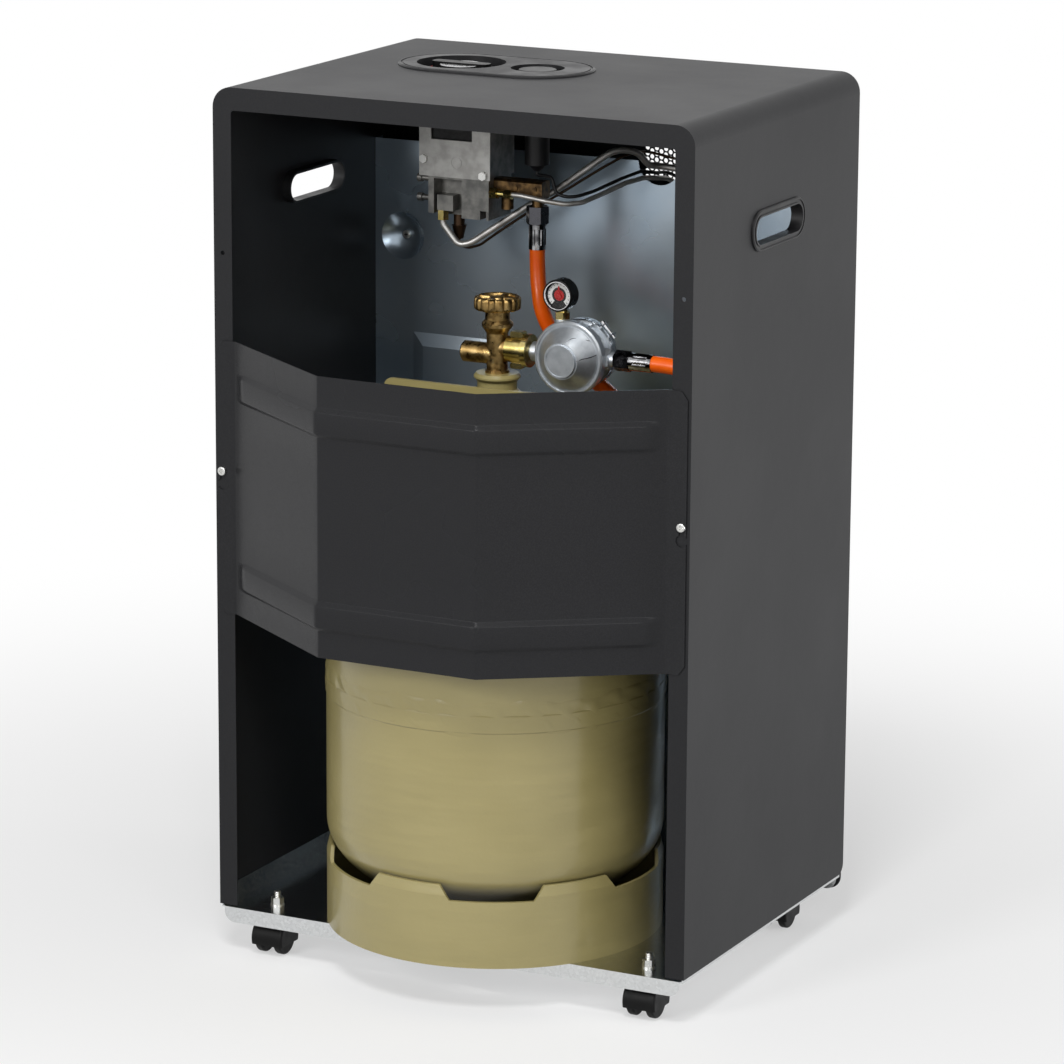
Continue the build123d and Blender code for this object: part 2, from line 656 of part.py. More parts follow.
def shell_outline(wall):
    """Half section of the bottle, as a face; wall shrinks it for the hollow."""
    radius = BOTTLE_R - wall
    foot, bend = SHELL_FOOT + wall, SHELL_BEND
    shoulder, crown = SHELL_SHOULDER, SHELL_TOP - wall
    low = EllipticalCenterArc((0, bend), radius, bend - foot, start_angle=270, arc_size=90)
    wall_line = Line((radius, bend), (radius, shoulder))
    high = EllipticalCenterArc((0, shoulder), radius, crown - shoulder, start_angle=0, arc_size=90)
    axis_line = Line((0, crown), (0, foot))
    return make_face(Curve() + [low, wall_line, high, axis_line])


def make_bottle_shell():
    outer = revolve(Plane.XZ * shell_outline(0), Axis.Z)
    inner = revolve(Plane.XZ * shell_outline(BOTTLE_WALL), Axis.Z)
    band = turned([(BOTTLE_R - 1, SEAM_Z - 10), (BOTTLE_R + SEAM_RISE, SEAM_Z - 7),
                   (BOTTLE_R + SEAM_RISE, SEAM_Z + 7), (BOTTLE_R - 1, SEAM_Z + 10)])
    neck_low = SHELL_TOP - 6
    neck_top = NECK_TOP - BOTTLE_Z
    neck = turned([(0, neck_low), (NECK_BASE_R, neck_low), (NECK_BASE_R, SHELL_TOP + 4),
                   (NECK_WAIST_R, SHELL_TOP + 8), (NECK_WAIST_R, neck_top), (0, neck_top)])
    bore = rod(NECK_BORE_R, (0, 0, neck_low - 20), (0, 0, neck_top + 1))
    return on_bottle(outer - inner + band + neck - bore)


def make_neck_ring():
    top = NECK_TOP - BOTTLE_Z
    low = top - NECK_RING_H
    profile = [(NECK_WAIST_R, low), (NECK_RING_R - 2, low), (NECK_RING_R, low + 2.5),
               (NECK_RING_R, top - 2.5), (NECK_RING_R - 2, top), (NECK_WAIST_R, top)]
    return on_bottle(turned(profile))


def window_wedge(z0, z1, spread0, spread1, face_angle):
    """Block that cuts one foot-ring window, wider at its top."""
    reach = BOTTLE_R + 10
    faces = []
    for z, spread in ((z0, spread0), (z1, spread1)):
        half = reach * math.tan(math.radians(spread / 2))
        outline = Polyline((0, 0, z), (reach, -half, z), (reach, half, z), close=True)
        faces.append(make_face(outline))
    return Rot(0, 0, face_angle) * loft(faces, ruled=True)


def make_foot_ring():
    shoulder = RING_H - RING_LEAN
    lean = BOTTLE_R - RING_WALL
    outer = [(BOTTLE_R, 0), (BOTTLE_R, shoulder), (lean + 0.8, RING_H)]
    inner = [(lean - 2.2, RING_H), (lean, shoulder - 2), (lean, 0)]
    foot = turned(outer + inner)
    shell = revolve(Plane.XZ * shell_outline(0), Axis.Z)
    rise = RING_H + 2 - RING_WINDOW_Z
    for k in range(RING_WINDOWS):
        angle = RING_WINDOW_FACE + k * 360 / RING_WINDOWS
        foot -= window_wedge(RING_WINDOW_Z, RING_WINDOW_Z + rise, RING_WINDOW_LOW,
                             RING_WINDOW_TOP, angle)
    return on_bottle(foot - shell)


def make_bottle_handle():
    low = SHELL_SHOULDER
    face = Pos(0, (low + HANDLE_TOP) / 2) * Rectangle(HANDLE_LEN, HANDLE_TOP - low)
    face = fillet(face.vertices().group_by(Axis.Y)[-1], HANDLE_CORNER_R)
    strip_plane = Plane(origin=(0, HANDLE_FORWARD + HANDLE_T / 2, 0), x_dir=(1, 0, 0),
                        z_dir=(0, -1, 0))
    strip = extrude(strip_plane * face, HANDLE_T)
    shell = revolve(Plane.XZ * shell_outline(0), Axis.Z)
    return on_bottle(strip - shell)


# ================================================================ bottle valve
def line_point(x, forward=0.0, rise=0.0):
    """Point from the bottle axis on the gas line; x runs towards the regulator."""
    return (BOTTLE_X - x, BOTTLE_Y + forward, LINE_Z + rise)


def make_bottle_valve():
    x, y, z = BOTTLE_X, BOTTLE_Y, NECK_TOP
    body = rod(NECK_BORE_R - 0.3, (x, y, z - 24), (x, y, z))
    body += rod(10.6, (x, y, z), (x, y, z + 2.5))
    body += rod(VALVE_BODY_R, (x, y, z), (x, y, z + 41))
    body += rod(STUB_R, (x, y, z + STUB_RISE), (x + STUB_OUT - 1.5, y, z + STUB_RISE))
    body += cone(STUB_R, STUB_R - 1.5, (x + STUB_OUT - 1.5, y, z + STUB_RISE),
                 (x + STUB_OUT, y, z + STUB_RISE))
    bulge = BULGE_R
    body += cone(VALVE_BODY_R, bulge, (x, y, z + 35), (x, y, z + 41))
    body += rod(bulge, (x, y, z + 41), (x, y, z + 44))
    body += cone(bulge, GLAND_R, (x, y, z + 44), (x, y, z + 47))
    body += rod(GLAND_R, (x, y, z + 46), (x, y, z + WHEEL_RISE - SEAM))
    body += rod(OUTLET_R, line_point(0), line_point(OUTLET_END))
    spindle_hole = rod(SPINDLE_R + RUN_FIT, (x, y, z + 32), (x, y, z + WHEEL_RISE + 1))
    relief = rod(4.0, (x + STUB_OUT - 4, y, z + STUB_RISE), (x + STUB_OUT + 1, y, z + STUB_RISE))
    return body - spindle_hole - relief


def make_handwheel():
    x, y, z = BOTTLE_X, BOTTLE_Y, NECK_TOP + WHEEL_RISE
    rim = rod(HANDWHEEL_R, (x, y, z), (x, y, z + HANDWHEEL_H))
    rim = chamfer(rim.edges().filter_by(GeomType.CIRCLE), 1.5)
    for k in range(HANDWHEEL_FLUTES):
        angle = 2 * math.pi * k / HANDWHEEL_FLUTES
        reach = HANDWHEEL_R + 1.8
        fx, fy = x + reach * math.cos(angle), y + reach * math.sin(angle)
        rim -= rod(2.9, (fx, fy, z - 1), (fx, fy, z + HANDWHEEL_H + 1))
    rim -= ring(HANDWHEEL_R - 3.8, 7.4, (x, y, z + HANDWHEEL_H - 3), (x, y, z + HANDWHEEL_H + 1))
    for k in range(4):
        spoke = Rot(0, 0, 90 * k) * block(6, HANDWHEEL_R - 3, -2, 2, HANDWHEEL_H - 4, HANDWHEEL_H - 0.5)
        rim += Pos(x, y, z) * spoke
    rim -= ring(HANDWHEEL_R - 5, 6.4, (x, y, z - 1), (x, y, z + 4))
    rim += rod(6.4, (x, y, z), (x, y, z + HANDWHEEL_H - 0.5))
    return rim + rod(SPINDLE_R, (x, y, z - 16), (x, y, z + 2))


def make_union_nut():
    nut = rod(NUT_R, line_point(NUT_START), line_point(NUT_END - 5))
    nut += rod(NUT_FLANGE_R, line_point(NUT_END - 5), line_point(NUT_END))
    for k in range(2):
        wing = Box(12.0, 9.0, 5.0)
        wing = fillet(wing.edges().filter_by(Axis.Y), 1.8)
        rise = WING_R - 2.5 if k == 0 else -(WING_R - 2.5)
        nut += Pos(*line_point(NUT_START + 9.0, 0, rise)) * wing
        stalk = Box(10.0, 7.0, 6.0)
        nut += Pos(*line_point(NUT_START + 9.0, 0, rise * 0.8)) * stalk
    nut -= rod(OUTLET_R + SEAM, line_point(NUT_START - 1), line_point(OUTLET_END + 0.5))
    return nut - rod(INLET_R + SEAM, line_point(OUTLET_END), line_point(NUT_END + 1))


# ================================================================ regulator
def reg_point(forward, x=0.0, rise=0.0):
    """Point from the regulator's centre; forward is towards the viewer at the rear."""
    return (REG_CX + x, BOTTLE_Y + forward, LINE_Z + rise)


def make_regulator_body():
    front = REG_FRONT - COVER_RIM_T
    body = rod(REG_RIM_R, reg_point(front), reg_point(front - 4.0))
    body += rod(REG_WAIST_R, reg_point(front), reg_point(-REG_BACK))
    body += rod(REG_BACK_R, reg_point(-REG_BACK + 5), reg_point(-REG_BACK))
    body += rod(CLIP_SEAT_R, reg_point(-CLIP_BACK + CLIP_W), reg_point(-REG_BACK))
    body += cone(REG_BACK_R - 2, 18.0, reg_point(-REG_BACK), reg_point(-REG_BACK - REG_DOME))
    body += rod(INLET_R, line_point(OUTLET_END + 0.3), line_point(-REG_X))
    body += rod(8.6, line_point(NUT_END + 2.5), line_point(-REG_X))
    body += hex_bar(2 * OUT_FLAT_R, line_point(-REG_X + REG_WAIST_R - 3), line_point(OUT_FLAT_END))
    body += rod(6.6, line_point(-REG_X), line_point(OUT_RING_END))
    seat = (GAUGE_CX, GAUGE_STEM_Y, LINE_Z + REG_WAIST_R - 7)
    body += rod(7.0, seat, (GAUGE_CX, GAUGE_STEM_Y, GAUGE_SEAT_Z))
    for k in (1, 2, 5, 6):
        rib = Rot(0, 22.5 + 45 * k, 0) * block(REG_WAIST_R - 2, REG_WAIST_R + 2.5, -8, 4, -1, 1)
        body += Pos(*reg_point(0)) * rib
    return body


def make_regulator_cover():
    base = REG_FRONT - COVER_RIM_T
    cover = rod(REG_RIM_R, reg_point(base), reg_point(REG_FRONT))
    cover = chamfer(cover.edges().filter_by(GeomType.CIRCLE).sort_by(Axis.Y)[-1], 1.4)
    cover -= ring(REG_RIM_R - 2.5, REG_RIM_R - 4.5, reg_point(REG_FRONT - 1),
                  reg_point(REG_FRONT + 1))
    cover += cone(REG_RIM_R - 4, COVER_CAP_R + 1.5, reg_point(REG_FRONT - 1),
                  reg_point(REG_FRONT + COVER_CONE - 2))
    cover += rod(COVER_CAP_R, reg_point(REG_FRONT), reg_point(REG_FRONT + COVER_CONE))
    return cover


def make_regulator_clip():
    """Sprung steel band round the waist, with a bolted lug."""
    y0, y1 = -CLIP_BACK, -CLIP_BACK + CLIP_W
    outer = CLIP_SEAT_R + CLIP_T
    band = ring(outer, CLIP_SEAT_R, reg_point(y1), reg_point(y0))
    turn = Rot(0, CLIP_TURN, 0)
    band -= Pos(*reg_point(0)) * (turn * block(-5, 5, y0 - 1, y1 + 1, 20, 40))
    for side in (-1, 1):
        lug = block(side * 5, side * (5 + CLIP_T), y0, y1, CLIP_SEAT_R - 1, outer + 7)
        lug -= rod(CLIP_SEAT_R, (0, y0 - 1, 0), (0, y1 + 1, 0))
        band += Pos(*reg_point(0)) * (turn * lug)
    mid = (y0 + y1) / 2
    bolt = rod(1.6, (-9, mid, outer + 3.5), (9, mid, outer + 3.5))
    bolt += rod(2.2, (6.2, mid, outer + 3.5), (9, mid, outer + 3.5))
    return band + Pos(*reg_point(0)) * (turn * bolt)


# ================================================================ pressure gauge
def gauge_point(depth, x=0.0, rise=0.0):
    return (GAUGE_CX + x, GAUGE_FACE_Y - depth, GAUGE_CZ + rise)


def make_gauge_stem():
    x, y, seat = GAUGE_CX, GAUGE_STEM_Y, GAUGE_SEAT_Z
    stem = hex_bar(GAUGE_STEM_FLATS, (x, y, seat), (x, y, seat + 6))
    return stem + rod(4.5, (x, y, seat), (x, y, GAUGE_CZ - GAUGE_R + 2.0))


def make_gauge_case():
    case = rod(GAUGE_R, gauge_point(0), gauge_point(GAUGE_DEPTH))
    case = fillet(case.edges().filter_by(GeomType.CIRCLE), 1.2)
    case -= rod(GAUGE_R - GAUGE_WALL, gauge_point(-1), gauge_point(5.0))
    case -= rod(1.0 + RUN_FIT, gauge_point(4.0), gauge_point(9.0))
    socket_top = GAUGE_CZ - GAUGE_R + 2.0
    return case - rod(4.5, (GAUGE_CX, GAUGE_STEM_Y, GAUGE_SEAT_Z), (GAUGE_CX, GAUGE_STEM_Y, socket_top))


def make_gauge_dial():
    dial = rod(GAUGE_R - GAUGE_WALL - 0.1, gauge_point(5.0 - DIAL_T), gauge_point(5.0))
    return dial - rod(1.6, gauge_point(0), gauge_point(6))


def make_gauge_lens():
    return rod(GAUGE_R - GAUGE_WALL - 0.1, gauge_point(0.8), gauge_point(0.8 + LENS_T))


def make_gauge_pointer():
    """Pointer with its hub and arbor; it turns in the back of the case."""
    hub = rod(2.2, gauge_point(2.6), gauge_point(3.6))
    hub += rod(1.0, gauge_point(3.0), gauge_point(8.0))
    hand = Pos(3.5, 0, 0) * Box(9.0, POINTER_T, 1.2)
    return hub + Pos(*gauge_point(3.2)) * (Rot(0, -90, 0) * hand)


# ================================================================ controls
def make_control_bezel():
    plate = bezel_cutout(0, TOP_Z, BEZEL_TOP)
    plate = chamfer(plate.faces().sort_by(Axis.Z)[-1].edges(), 1.2)
    body = plate + bezel_cutout(-5.0, TOP_Z - 6, TOP_Z) - bezel_cutout(-7.0, TOP_Z - 7, TOP_Z)
    for x, radius, floor in ((KNOB_X, DISH_R, DISH_FLOOR), (BUTTON_X, BUTTON_DISH_R, BUTTON_FLOOR)):
        body += rod(radius + DISH_WALL, (x, CONTROL_Y, floor - DISH_WALL), (x, CONTROL_Y, BEZEL_TOP - 1))
    for x, radius, floor in ((KNOB_X, DISH_R, DISH_FLOOR), (BUTTON_X, BUTTON_DISH_R, BUTTON_FLOOR)):
        body -= rod(radius, (x, CONTROL_Y, floor), (x, CONTROL_Y, BEZEL_TOP + 1))
    body -= rod(KNOB_SPINDLE_R + 1.0, (KNOB_X, CONTROL_Y, 0), (KNOB_X, CONTROL_Y, TOP_Z))
    body -= rod(BUTTON_STEM_R + 0.4, (BUTTON_X, CONTROL_Y, 0), (BUTTON_X, CONTROL_Y, TOP_Z))
    outer = bezel_cutout(-2.5, BEZEL_TOP - 0.7, BEZEL_TOP + 1)
    return body - (outer - bezel_cutout(-4.5, BEZEL_TOP - 1, BEZEL_TOP + 2))


def make_knob_spindle():
    low = VALVE_TOP - 12
    return rod(KNOB_SPINDLE_R, (KNOB_X, CONTROL_Y, low), (KNOB_X, CONTROL_Y, DISH_FLOOR + 22))


def make_control_knob():
    """Turning knob with a finger bar across its dished face."""
    low = DISH_FLOOR + KNOB_PUSH + 2.0
    top = low + KNOB_H
    knob = rod(KNOB_R, (KNOB_X, CONTROL_Y, low), (KNOB_X, CONTROL_Y, top - 6))
    knob = chamfer(knob.edges().filter_by(GeomType.CIRCLE).sort_by(Axis.Z)[-1], 1.5)
    knob -= rod(KNOB_R - 3, (KNOB_X, CONTROL_Y, low - 1), (KNOB_X, CONTROL_Y, low + 9))
    knob += rod(9.0, (KNOB_X, CONTROL_Y, low), (KNOB_X, CONTROL_Y, top - 8))
    knob += rod(20.0, (KNOB_X, CONTROL_Y, top - 8), (KNOB_X, CONTROL_Y, top - 2))
    knob += Pos(KNOB_X, CONTROL_Y, top - 4) * fillet(Box(56, 13, 8).edges().filter_by(Axis.Z), 5.0)
    for k in range(24):
        angle = 2 * math.pi * k / 24
        gx = KNOB_X + (KNOB_R + 0.6) * math.cos(angle)
        gy = CONTROL_Y + (KNOB_R + 0.6) * math.sin(angle)
        knob -= rod(1.5, (gx, gy, low - 1), (gx, gy, top - 7))
    return knob - rod(KNOB_SPINDLE_R + RUN_FIT, (KNOB_X, CONTROL_Y, low - 1),
                      (KNOB_X, CONTROL_Y, DISH_FLOOR + 22.4))


def make_igniter_button():
    top = BEZEL_TOP - BUTTON_SUNK
    low = top - BUTTON_T
    cap = rod(BUTTON_R, (BUTTON_X, CONTROL_Y, low), (BUTTON_X, CONTROL_Y, top))
    cap = fillet(cap.edges().filter_by(GeomType.CIRCLE).sort_by(Axis.Z)[-1], 1.2)
    stem_end = BUTTON_FLOOR - DISH_WALL - 8
    return cap + rod(BUTTON_STEM_R, (BUTTON_X, CONTROL_Y, stem_end), (BUTTON_X, CONTROL_Y, low))


def make_igniter_body():
    top = BUTTON_FLOOR - DISH_WALL
    x, y = BUTTON_X, CONTROL_Y
    barrel = rod(IGNITER_R, (x, y, top - IGNITER_LEN), (x, y, top))
    barrel += hex_bar(26.0, (x, y, top - 4), (x, y, top))
    low = top - IGNITER_LEN
    barrel += cone(3.0, IGNITER_R - 2, (x, y, low - IGNITER_BOOT), (x, y, low))
    return barrel - rod(BUTTON_STEM_R + RUN_FIT, (x, y, top - 16), (x, y, top + 1))


# ================================================================ gas valve
def make_gas_valve_body():
    back = BODY_FACE_Y - VALVE_DEPTH
    left, right = VALVE_X + BODY_LEFT, VALVE_X - BODY_RIGHT
    body = block(right, VALVE_X + 33, BODY_FACE_Y, back, PLATE_LOW, VALVE_TOP)
    body += block(right, left, BODY_FACE_Y, back + 6, BODY_LOW, PLATE_LOW)
    body -= block(VALVE_X + RECESS_RIGHT, VALVE_X + RECESS_LEFT, BODY_FACE_Y - RECESS_DEPTH,
                  BODY_FACE_Y + 1, BODY_LOW - 1, PLATE_LOW - 2)
    # boss of the main outlet inside the recess, and the notch at the lower right
    body += block(VALVE_X + 3.5, VALVE_X + 19.5, BODY_FACE_Y - 2.5, BODY_FACE_Y - RECESS_DEPTH - 1,
                  MAIN_PORT_Z, MAIN_PORT_Z + 14)
    body -= block(right + 2.5, right + 8.5, BODY_FACE_Y - 12, BODY_FACE_Y + 1, BODY_LOW - 1,
                  BODY_LOW + 8)
    body -= block(VALVE_X + RECESS_LEFT - 1, left + 1, BODY_FACE_Y - 18, BODY_FACE_Y + 1,
                  BODY_LOW - 1, BODY_LOW + 2.5)
    # two terminals on the left side
    for rise in (15.3, 32.8):
        z = BODY_LOW + rise
        y = BODY_FACE_Y - 5
        body += rod(TERMINAL_R, (left - 1, y, z), (left + 11, y, z))
        body += rod(TERMINAL_R + 1.2, (left + 8, y, z), (left + 12.5, y, z))
    body -= rod(KNOB_SPINDLE_R + RUN_FIT, (KNOB_X, CONTROL_Y, VALVE_TOP - 20),
                (KNOB_X, CONTROL_Y, VALVE_TOP + 1))
    body -= plate_slot(BODY_FACE_Y - PLATE_POCKET, BODY_FACE_Y + 1)
    for x, z in plate_screw_places():
        body -= rod(SCREW_R, (x, BODY_FACE_Y - 5, z), (x, BODY_FACE_Y + 1, z))
    return body


def plate_screw_places():
    return ((VALVE_X + 30.5, PLATE_LOW + 15.3), (VALVE_X - 29.0, PLATE_LOW + 4.0))


def plate_slot(y0, y1):
    """Slot in the cover plate, and the pocket behind it."""
    middle = VALVE_X + 3
    return block(middle - PLATE_SLOT_W / 2, middle + PLATE_SLOT_W / 2, y0, y1,
                 TOP_Z - PLATE_SLOT_LOW, TOP_Z - PLATE_SLOT_TOP)


def make_valve_cover_plate():
    half = PLATE_W / 2
    plate = block(VALVE_X - half, VALVE_X + half, BODY_FACE_Y, VALVE_FACE_Y, PLATE_LOW, VALVE_TOP - 2)
    plate -= plate_slot(BODY_FACE_Y - 1, VALVE_FACE_Y + 1)
    mark = (VALVE_X - 2.5, PLATE_LOW + 13.8)
    plate -= ring(MARK_R, MARK_R - 1.0, (mark[0], VALVE_FACE_Y - 0.5, mark[1]),
                  (mark[0], VALVE_FACE_Y + 1, mark[1]))
    for x, z in plate_screw_places():
        plate -= rod(2.0, (x, BODY_FACE_Y - 1, z), (x, VALVE_FACE_Y + 1, z))
    return plate


def make_valve_screws():
    pieces = []
    for x, z in plate_screw_places():
        head = hex_bar(7.0, (x, VALVE_FACE_Y, z), (x, VALVE_FACE_Y + 3, z))
        pieces.append(head + rod(SCREW_R - 0.05, (x, BODY_FACE_Y - 5, z), (x, VALVE_FACE_Y, z)))
    return pieces


def make_inlet_elbow():
    """Cast gas inlet on the valve's right side, turned down to the hose."""
    start = VALVE_X - BODY_RIGHT
    end = ELBOW_X - ELBOW_BODY / 2
    half = ELBOW_BODY / 2
    elbow = block(start, end, ELBOW_Y - half, ELBOW_Y + half, ELBOW_Z - half, ELBOW_Z + half)
    elbow = chamfer(elbow.edges().filter_by(Axis.X), 2.0)
    elbow += rod(5.5, (start - 10, ELBOW_Y, ELBOW_Z), (start - 10, ELBOW_Y, ELBOW_Z - 20))
    elbow += rod(5.0, (ELBOW_X, ELBOW_Y, ELBOW_Z), (ELBOW_X, ELBOW_Y, TOP_Z - UP_NUT_TOP))
    for x in (start - 22, ELBOW_X - 1):
        elbow += rod(2.2, (x, ELBOW_Y + half - 1, ELBOW_Z + 1), (x, ELBOW_Y + half + 1, ELBOW_Z + 1))
    return elbow


# ================================================================ hose and its ends
def fluted_ferrule(start, end):
    """Crimped sleeve with shallow flutes along it."""
    sleeve = rod(FERRULE_R, start, end)
    axis = Vector(*end) - Vector(*start)
    base = Plane(origin=start, z_dir=axis)
    length = axis.length
    for k in range(8):
        angle = math.radians(45 * k)
        place = Pos(9.0 * math.cos(angle), 9.0 * math.sin(angle), length * 0.5)
        sleeve -= base * (place * Cylinder(1.9, length * 0.62))
    return sleeve


def make_hose_ferrules():
    upper = fluted_ferrule((ELBOW_X, ELBOW_Y, TOP_Z - UP_NUT_LOW), (ELBOW_X, ELBOW_Y, HOSE_TOP_Z))
    lower = fluted_ferrule(line_point(LOW_NUT_END), line_point(LOW_FERRULE_END))
    return [upper, lower]


def make_hose_nuts():
    top, low = TOP_Z - UP_NUT_TOP, TOP_Z - UP_NUT_LOW
    upper = hex_bar(UP_NUT_FLATS, (ELBOW_X, ELBOW_Y, low), (ELBOW_X, ELBOW_Y, top), 12.0)
    upper = upper & cone(9.0, 14.0, (ELBOW_X, ELBOW_Y, low), (ELBOW_X, ELBOW_Y, low + 5)) + (
        upper & block(ELBOW_X - 20, ELBOW_X + 20, ELBOW_Y - 20, ELBOW_Y + 20, low + 5, top))
    lower = hex_bar(LOW_NUT_FLATS, line_point(OUT_RING_END), line_point(LOW_NUT_END))
    return [upper, lower]


def hose_points():
    """Centre line of the hose, from the upper ferrule to the lower one, chosen by hand."""
    x, y = BOTTLE_X, REAR_Y
    low_y = BOTTLE_Y
    return [
        (ELBOW_X, ELBOW_Y, HOSE_TOP_Z),
        (ELBOW_X, ELBOW_Y, HOSE_TOP_Z - 26),
        (ELBOW_X - 13, ELBOW_Y + 14, HOSE_TOP_Z - 62),
        (x - 36, y - 168, LINE_Z - 21),
        (x - 80, y - 142, LINE_Z - 40),
        (x - 128, y - 130, LINE_Z - 66),
        (x - 170, y - 120, LINE_Z - 93),
        (x - 207, y - 108, LINE_Z - 80),
        (x - 219, low_y - 5, LINE_Z - 46),
        (x - 209, low_y - 2, LINE_Z - 12),
        (x - 183, low_y, LINE_Z),
        (HOSE_LOW_X, low_y, LINE_Z),
    ]


def corner_radii(points, share=0.45):
    """Largest tangent arcs that each pair of runs allows."""
    spots = [Vector(*p) for p in points]
    radii = []
    for a, b, c in zip(spots, spots[1:], spots[2:]):
        turn = math.radians((b - a).get_angle(c - b))
        run = min((b - a).length, (c - b).length)
        radii.append(share * run / math.tan(turn / 2))
    return radii


def make_gas_hose():
    points = hose_points()
    radii = corner_radii(points)
    route = tube_route(points, radii)
    hose = bar_along(route, HOSE_R)
    section = math.pi * HOSE_R ** 2
    print("hose radii", [round(r) for r in radii])
    print("hose length", round(route.length, 1), "volume ratio",
          round(hose.volume / (section * route.length), 4))
    return hose


# ================================================================ tubes and leads
def drop_point(x, back, drop):
    """Point by its X, its distance behind the rear plane and its drop below the top."""
    return (x, REAR_Y - back, TOP_Z - drop)


def smooth_bar(points, radius, bend):
    """Tube through hand-chosen points, every corner rounded to at most the given bend."""
    radii = [min(r, bend) for r in corner_radii(points, 0.46)]
    return bar_along(tube_route(points, radii), radius)


def main_tube_points():
    x, y = VALVE_X + MAIN_PORT_X, REAR_Y - MAIN_PORT_IN
    z = MAIN_PORT_Z - MAIN_NUT_H
    lane = -HALF_W + LANE_MAIN
    return [
        (x, y, z),
        (x, y, z - 4),
        (x - 15, y - 1, z - 22),
        (x - 26, y - 3, z - 20),
        drop_point(43, 225, 127),
        drop_point(16, 240, 109),
        drop_point(-28, 265, 73),
        drop_point(-43, 280, 75.5),
        (NOTCH_X + 10, PARTITION_Y + 2, PARTITION_TOP - 3),
        (NOTCH_X + 5, PARTITION_Y - 6, PARTITION_TOP - 4.5),
        (NOTCH_X - 6, PARTITION_Y - PLANE_MAIN, PARTITION_TOP - 6),
        (NOTCH_X - 50, PARTITION_Y - PLANE_MAIN, PARTITION_TOP - 10),
        (lane, PARTITION_Y - PLANE_MAIN, TOP_Z - DIMPLE_DROP + DIMPLE_R + 12),
        (lane, PARTITION_Y - PLANE_MAIN, MANIFOLD_Z + 28),
        (lane + 26, MANIFOLD_Y, MANIFOLD_Z),
        (-MANIFOLD_LEN / 2 - 10, MANIFOLD_Y, MANIFOLD_Z),
    ]


def make_main_tube():
    return smooth_bar(main_tube_points(), MAIN_TUBE_R, 30.0)


def pilot_tube_points():
    x = VALVE_X - BODY_RIGHT - PILOT_FITTING
    y, z = REAR_Y - PILOT_PORT_IN, BODY_LOW + PILOT_PORT_RISE
    lane = -HALF_W + LANE_PILOT
    return [
        (x, y, z),
        (x - 8, y, z),
        (x - 32, y - 1, z - 3),
        (x - 50, y - 6, z - 5.3),
        (x - 61, y - 17, z - 4.5),
        (x - 70, y - 47, z + 1),
        (x - 80, y - 67, z + 7.3),
        (NOTCH_X + 11, PARTITION_Y + 9, PARTITION_TOP - 13.5),
        (NOTCH_X + 4, PARTITION_Y, PARTITION_TOP - 14.5),
        (NOTCH_X + 2, PARTITION_Y - 8, PARTITION_TOP - 15.5),
        (NOTCH_X, PARTITION_Y - PLANE_PILOT, PARTITION_TOP - 18),
        (NOTCH_X - 20, PARTITION_Y - PLANE_PILOT, PARTITION_TOP - 30),
        (lane, PARTITION_Y - PLANE_PILOT, PARTITION_TOP - 62),
        (lane, PARTITION_Y - PLANE_PILOT, MANIFOLD_Z - PILOT_BELOW + 14),
        (lane + 14, PARTITION_Y - PLANE_PILOT, MANIFOLD_Z - PILOT_BELOW),
        (PILOT_X - 40, PARTITION_Y - PLANE_PILOT, MANIFOLD_Z - PILOT_BELOW),
        (PILOT_X, PILOT_Y, MANIFOLD_Z - PILOT_BELOW + 3),
        (PILOT_X, PILOT_Y, PILOT_Z - 8),
    ]


def make_pilot_tube():
    return smooth_bar(pilot_tube_points(), PILOT_TUBE_R, 14.0)


def lead_points():
    low = BUTTON_FLOOR - DISH_WALL - IGNITER_LEN - IGNITER_BOOT
    lane = -HALF_W + LANE_LEAD
    return [
        (BUTTON_X, CONTROL_Y, low),
        (BUTTON_X, CONTROL_Y, low - 3.5),
        (BUTTON_X - 11, CONTROL_Y + 2.5, low - 3.5),
        (BUTTON_X - 17, CONTROL_Y + 4.5, low - 4),
        (BUTTON_X - 19.5, CONTROL_Y + 5, low - 12),
        (BUTTON_X - 22, CONTROL_Y + 5, low - 18),
        (BUTTON_X - 32, CONTROL_Y + 4.5, low - 20.5),
        (BUTTON_X - 41, CONTROL_Y - 1, low - 19.5),
        (BUTTON_X - 49, CONTROL_Y - 16, low - 16.5),
        (BUTTON_X - 62, CONTROL_Y - 43, low - 8.5),
        (NOTCH_X + 13, PARTITION_Y + 9, PARTITION_TOP - 7.5),
        (NOTCH_X + 7.5, PARTITION_Y, PARTITION_TOP - 9.8),
        (NOTCH_X + 6, PARTITION_Y - 8, PARTITION_TOP - 11),
        (NOTCH_X + 4, PARTITION_Y - PLANE_LEAD, PARTITION_TOP - 13),
        (NOTCH_X - 20, PARTITION_Y - PLANE_LEAD, PARTITION_TOP - 24),
        (lane, PARTITION_Y - PLANE_LEAD, PARTITION_TOP - 80),
        (lane, PARTITION_Y - PLANE_LEAD, MANIFOLD_Z - LEAD_BELOW + 14),
        (lane + 14, PARTITION_Y - PLANE_LEAD, MANIFOLD_Z - LEAD_BELOW),
        (SPARK_X - 12, PARTITION_Y - PLANE_LEAD, MANIFOLD_Z - LEAD_BELOW),
        (SPARK_X, PILOT_Y, MANIFOLD_Z - LEAD_BELOW + 4),
        (SPARK_X, PILOT_Y, PILOT_Z - 12),
    ]


def make_ignition_lead():
    return smooth_bar(lead_points(), LEAD_R, 20.0)


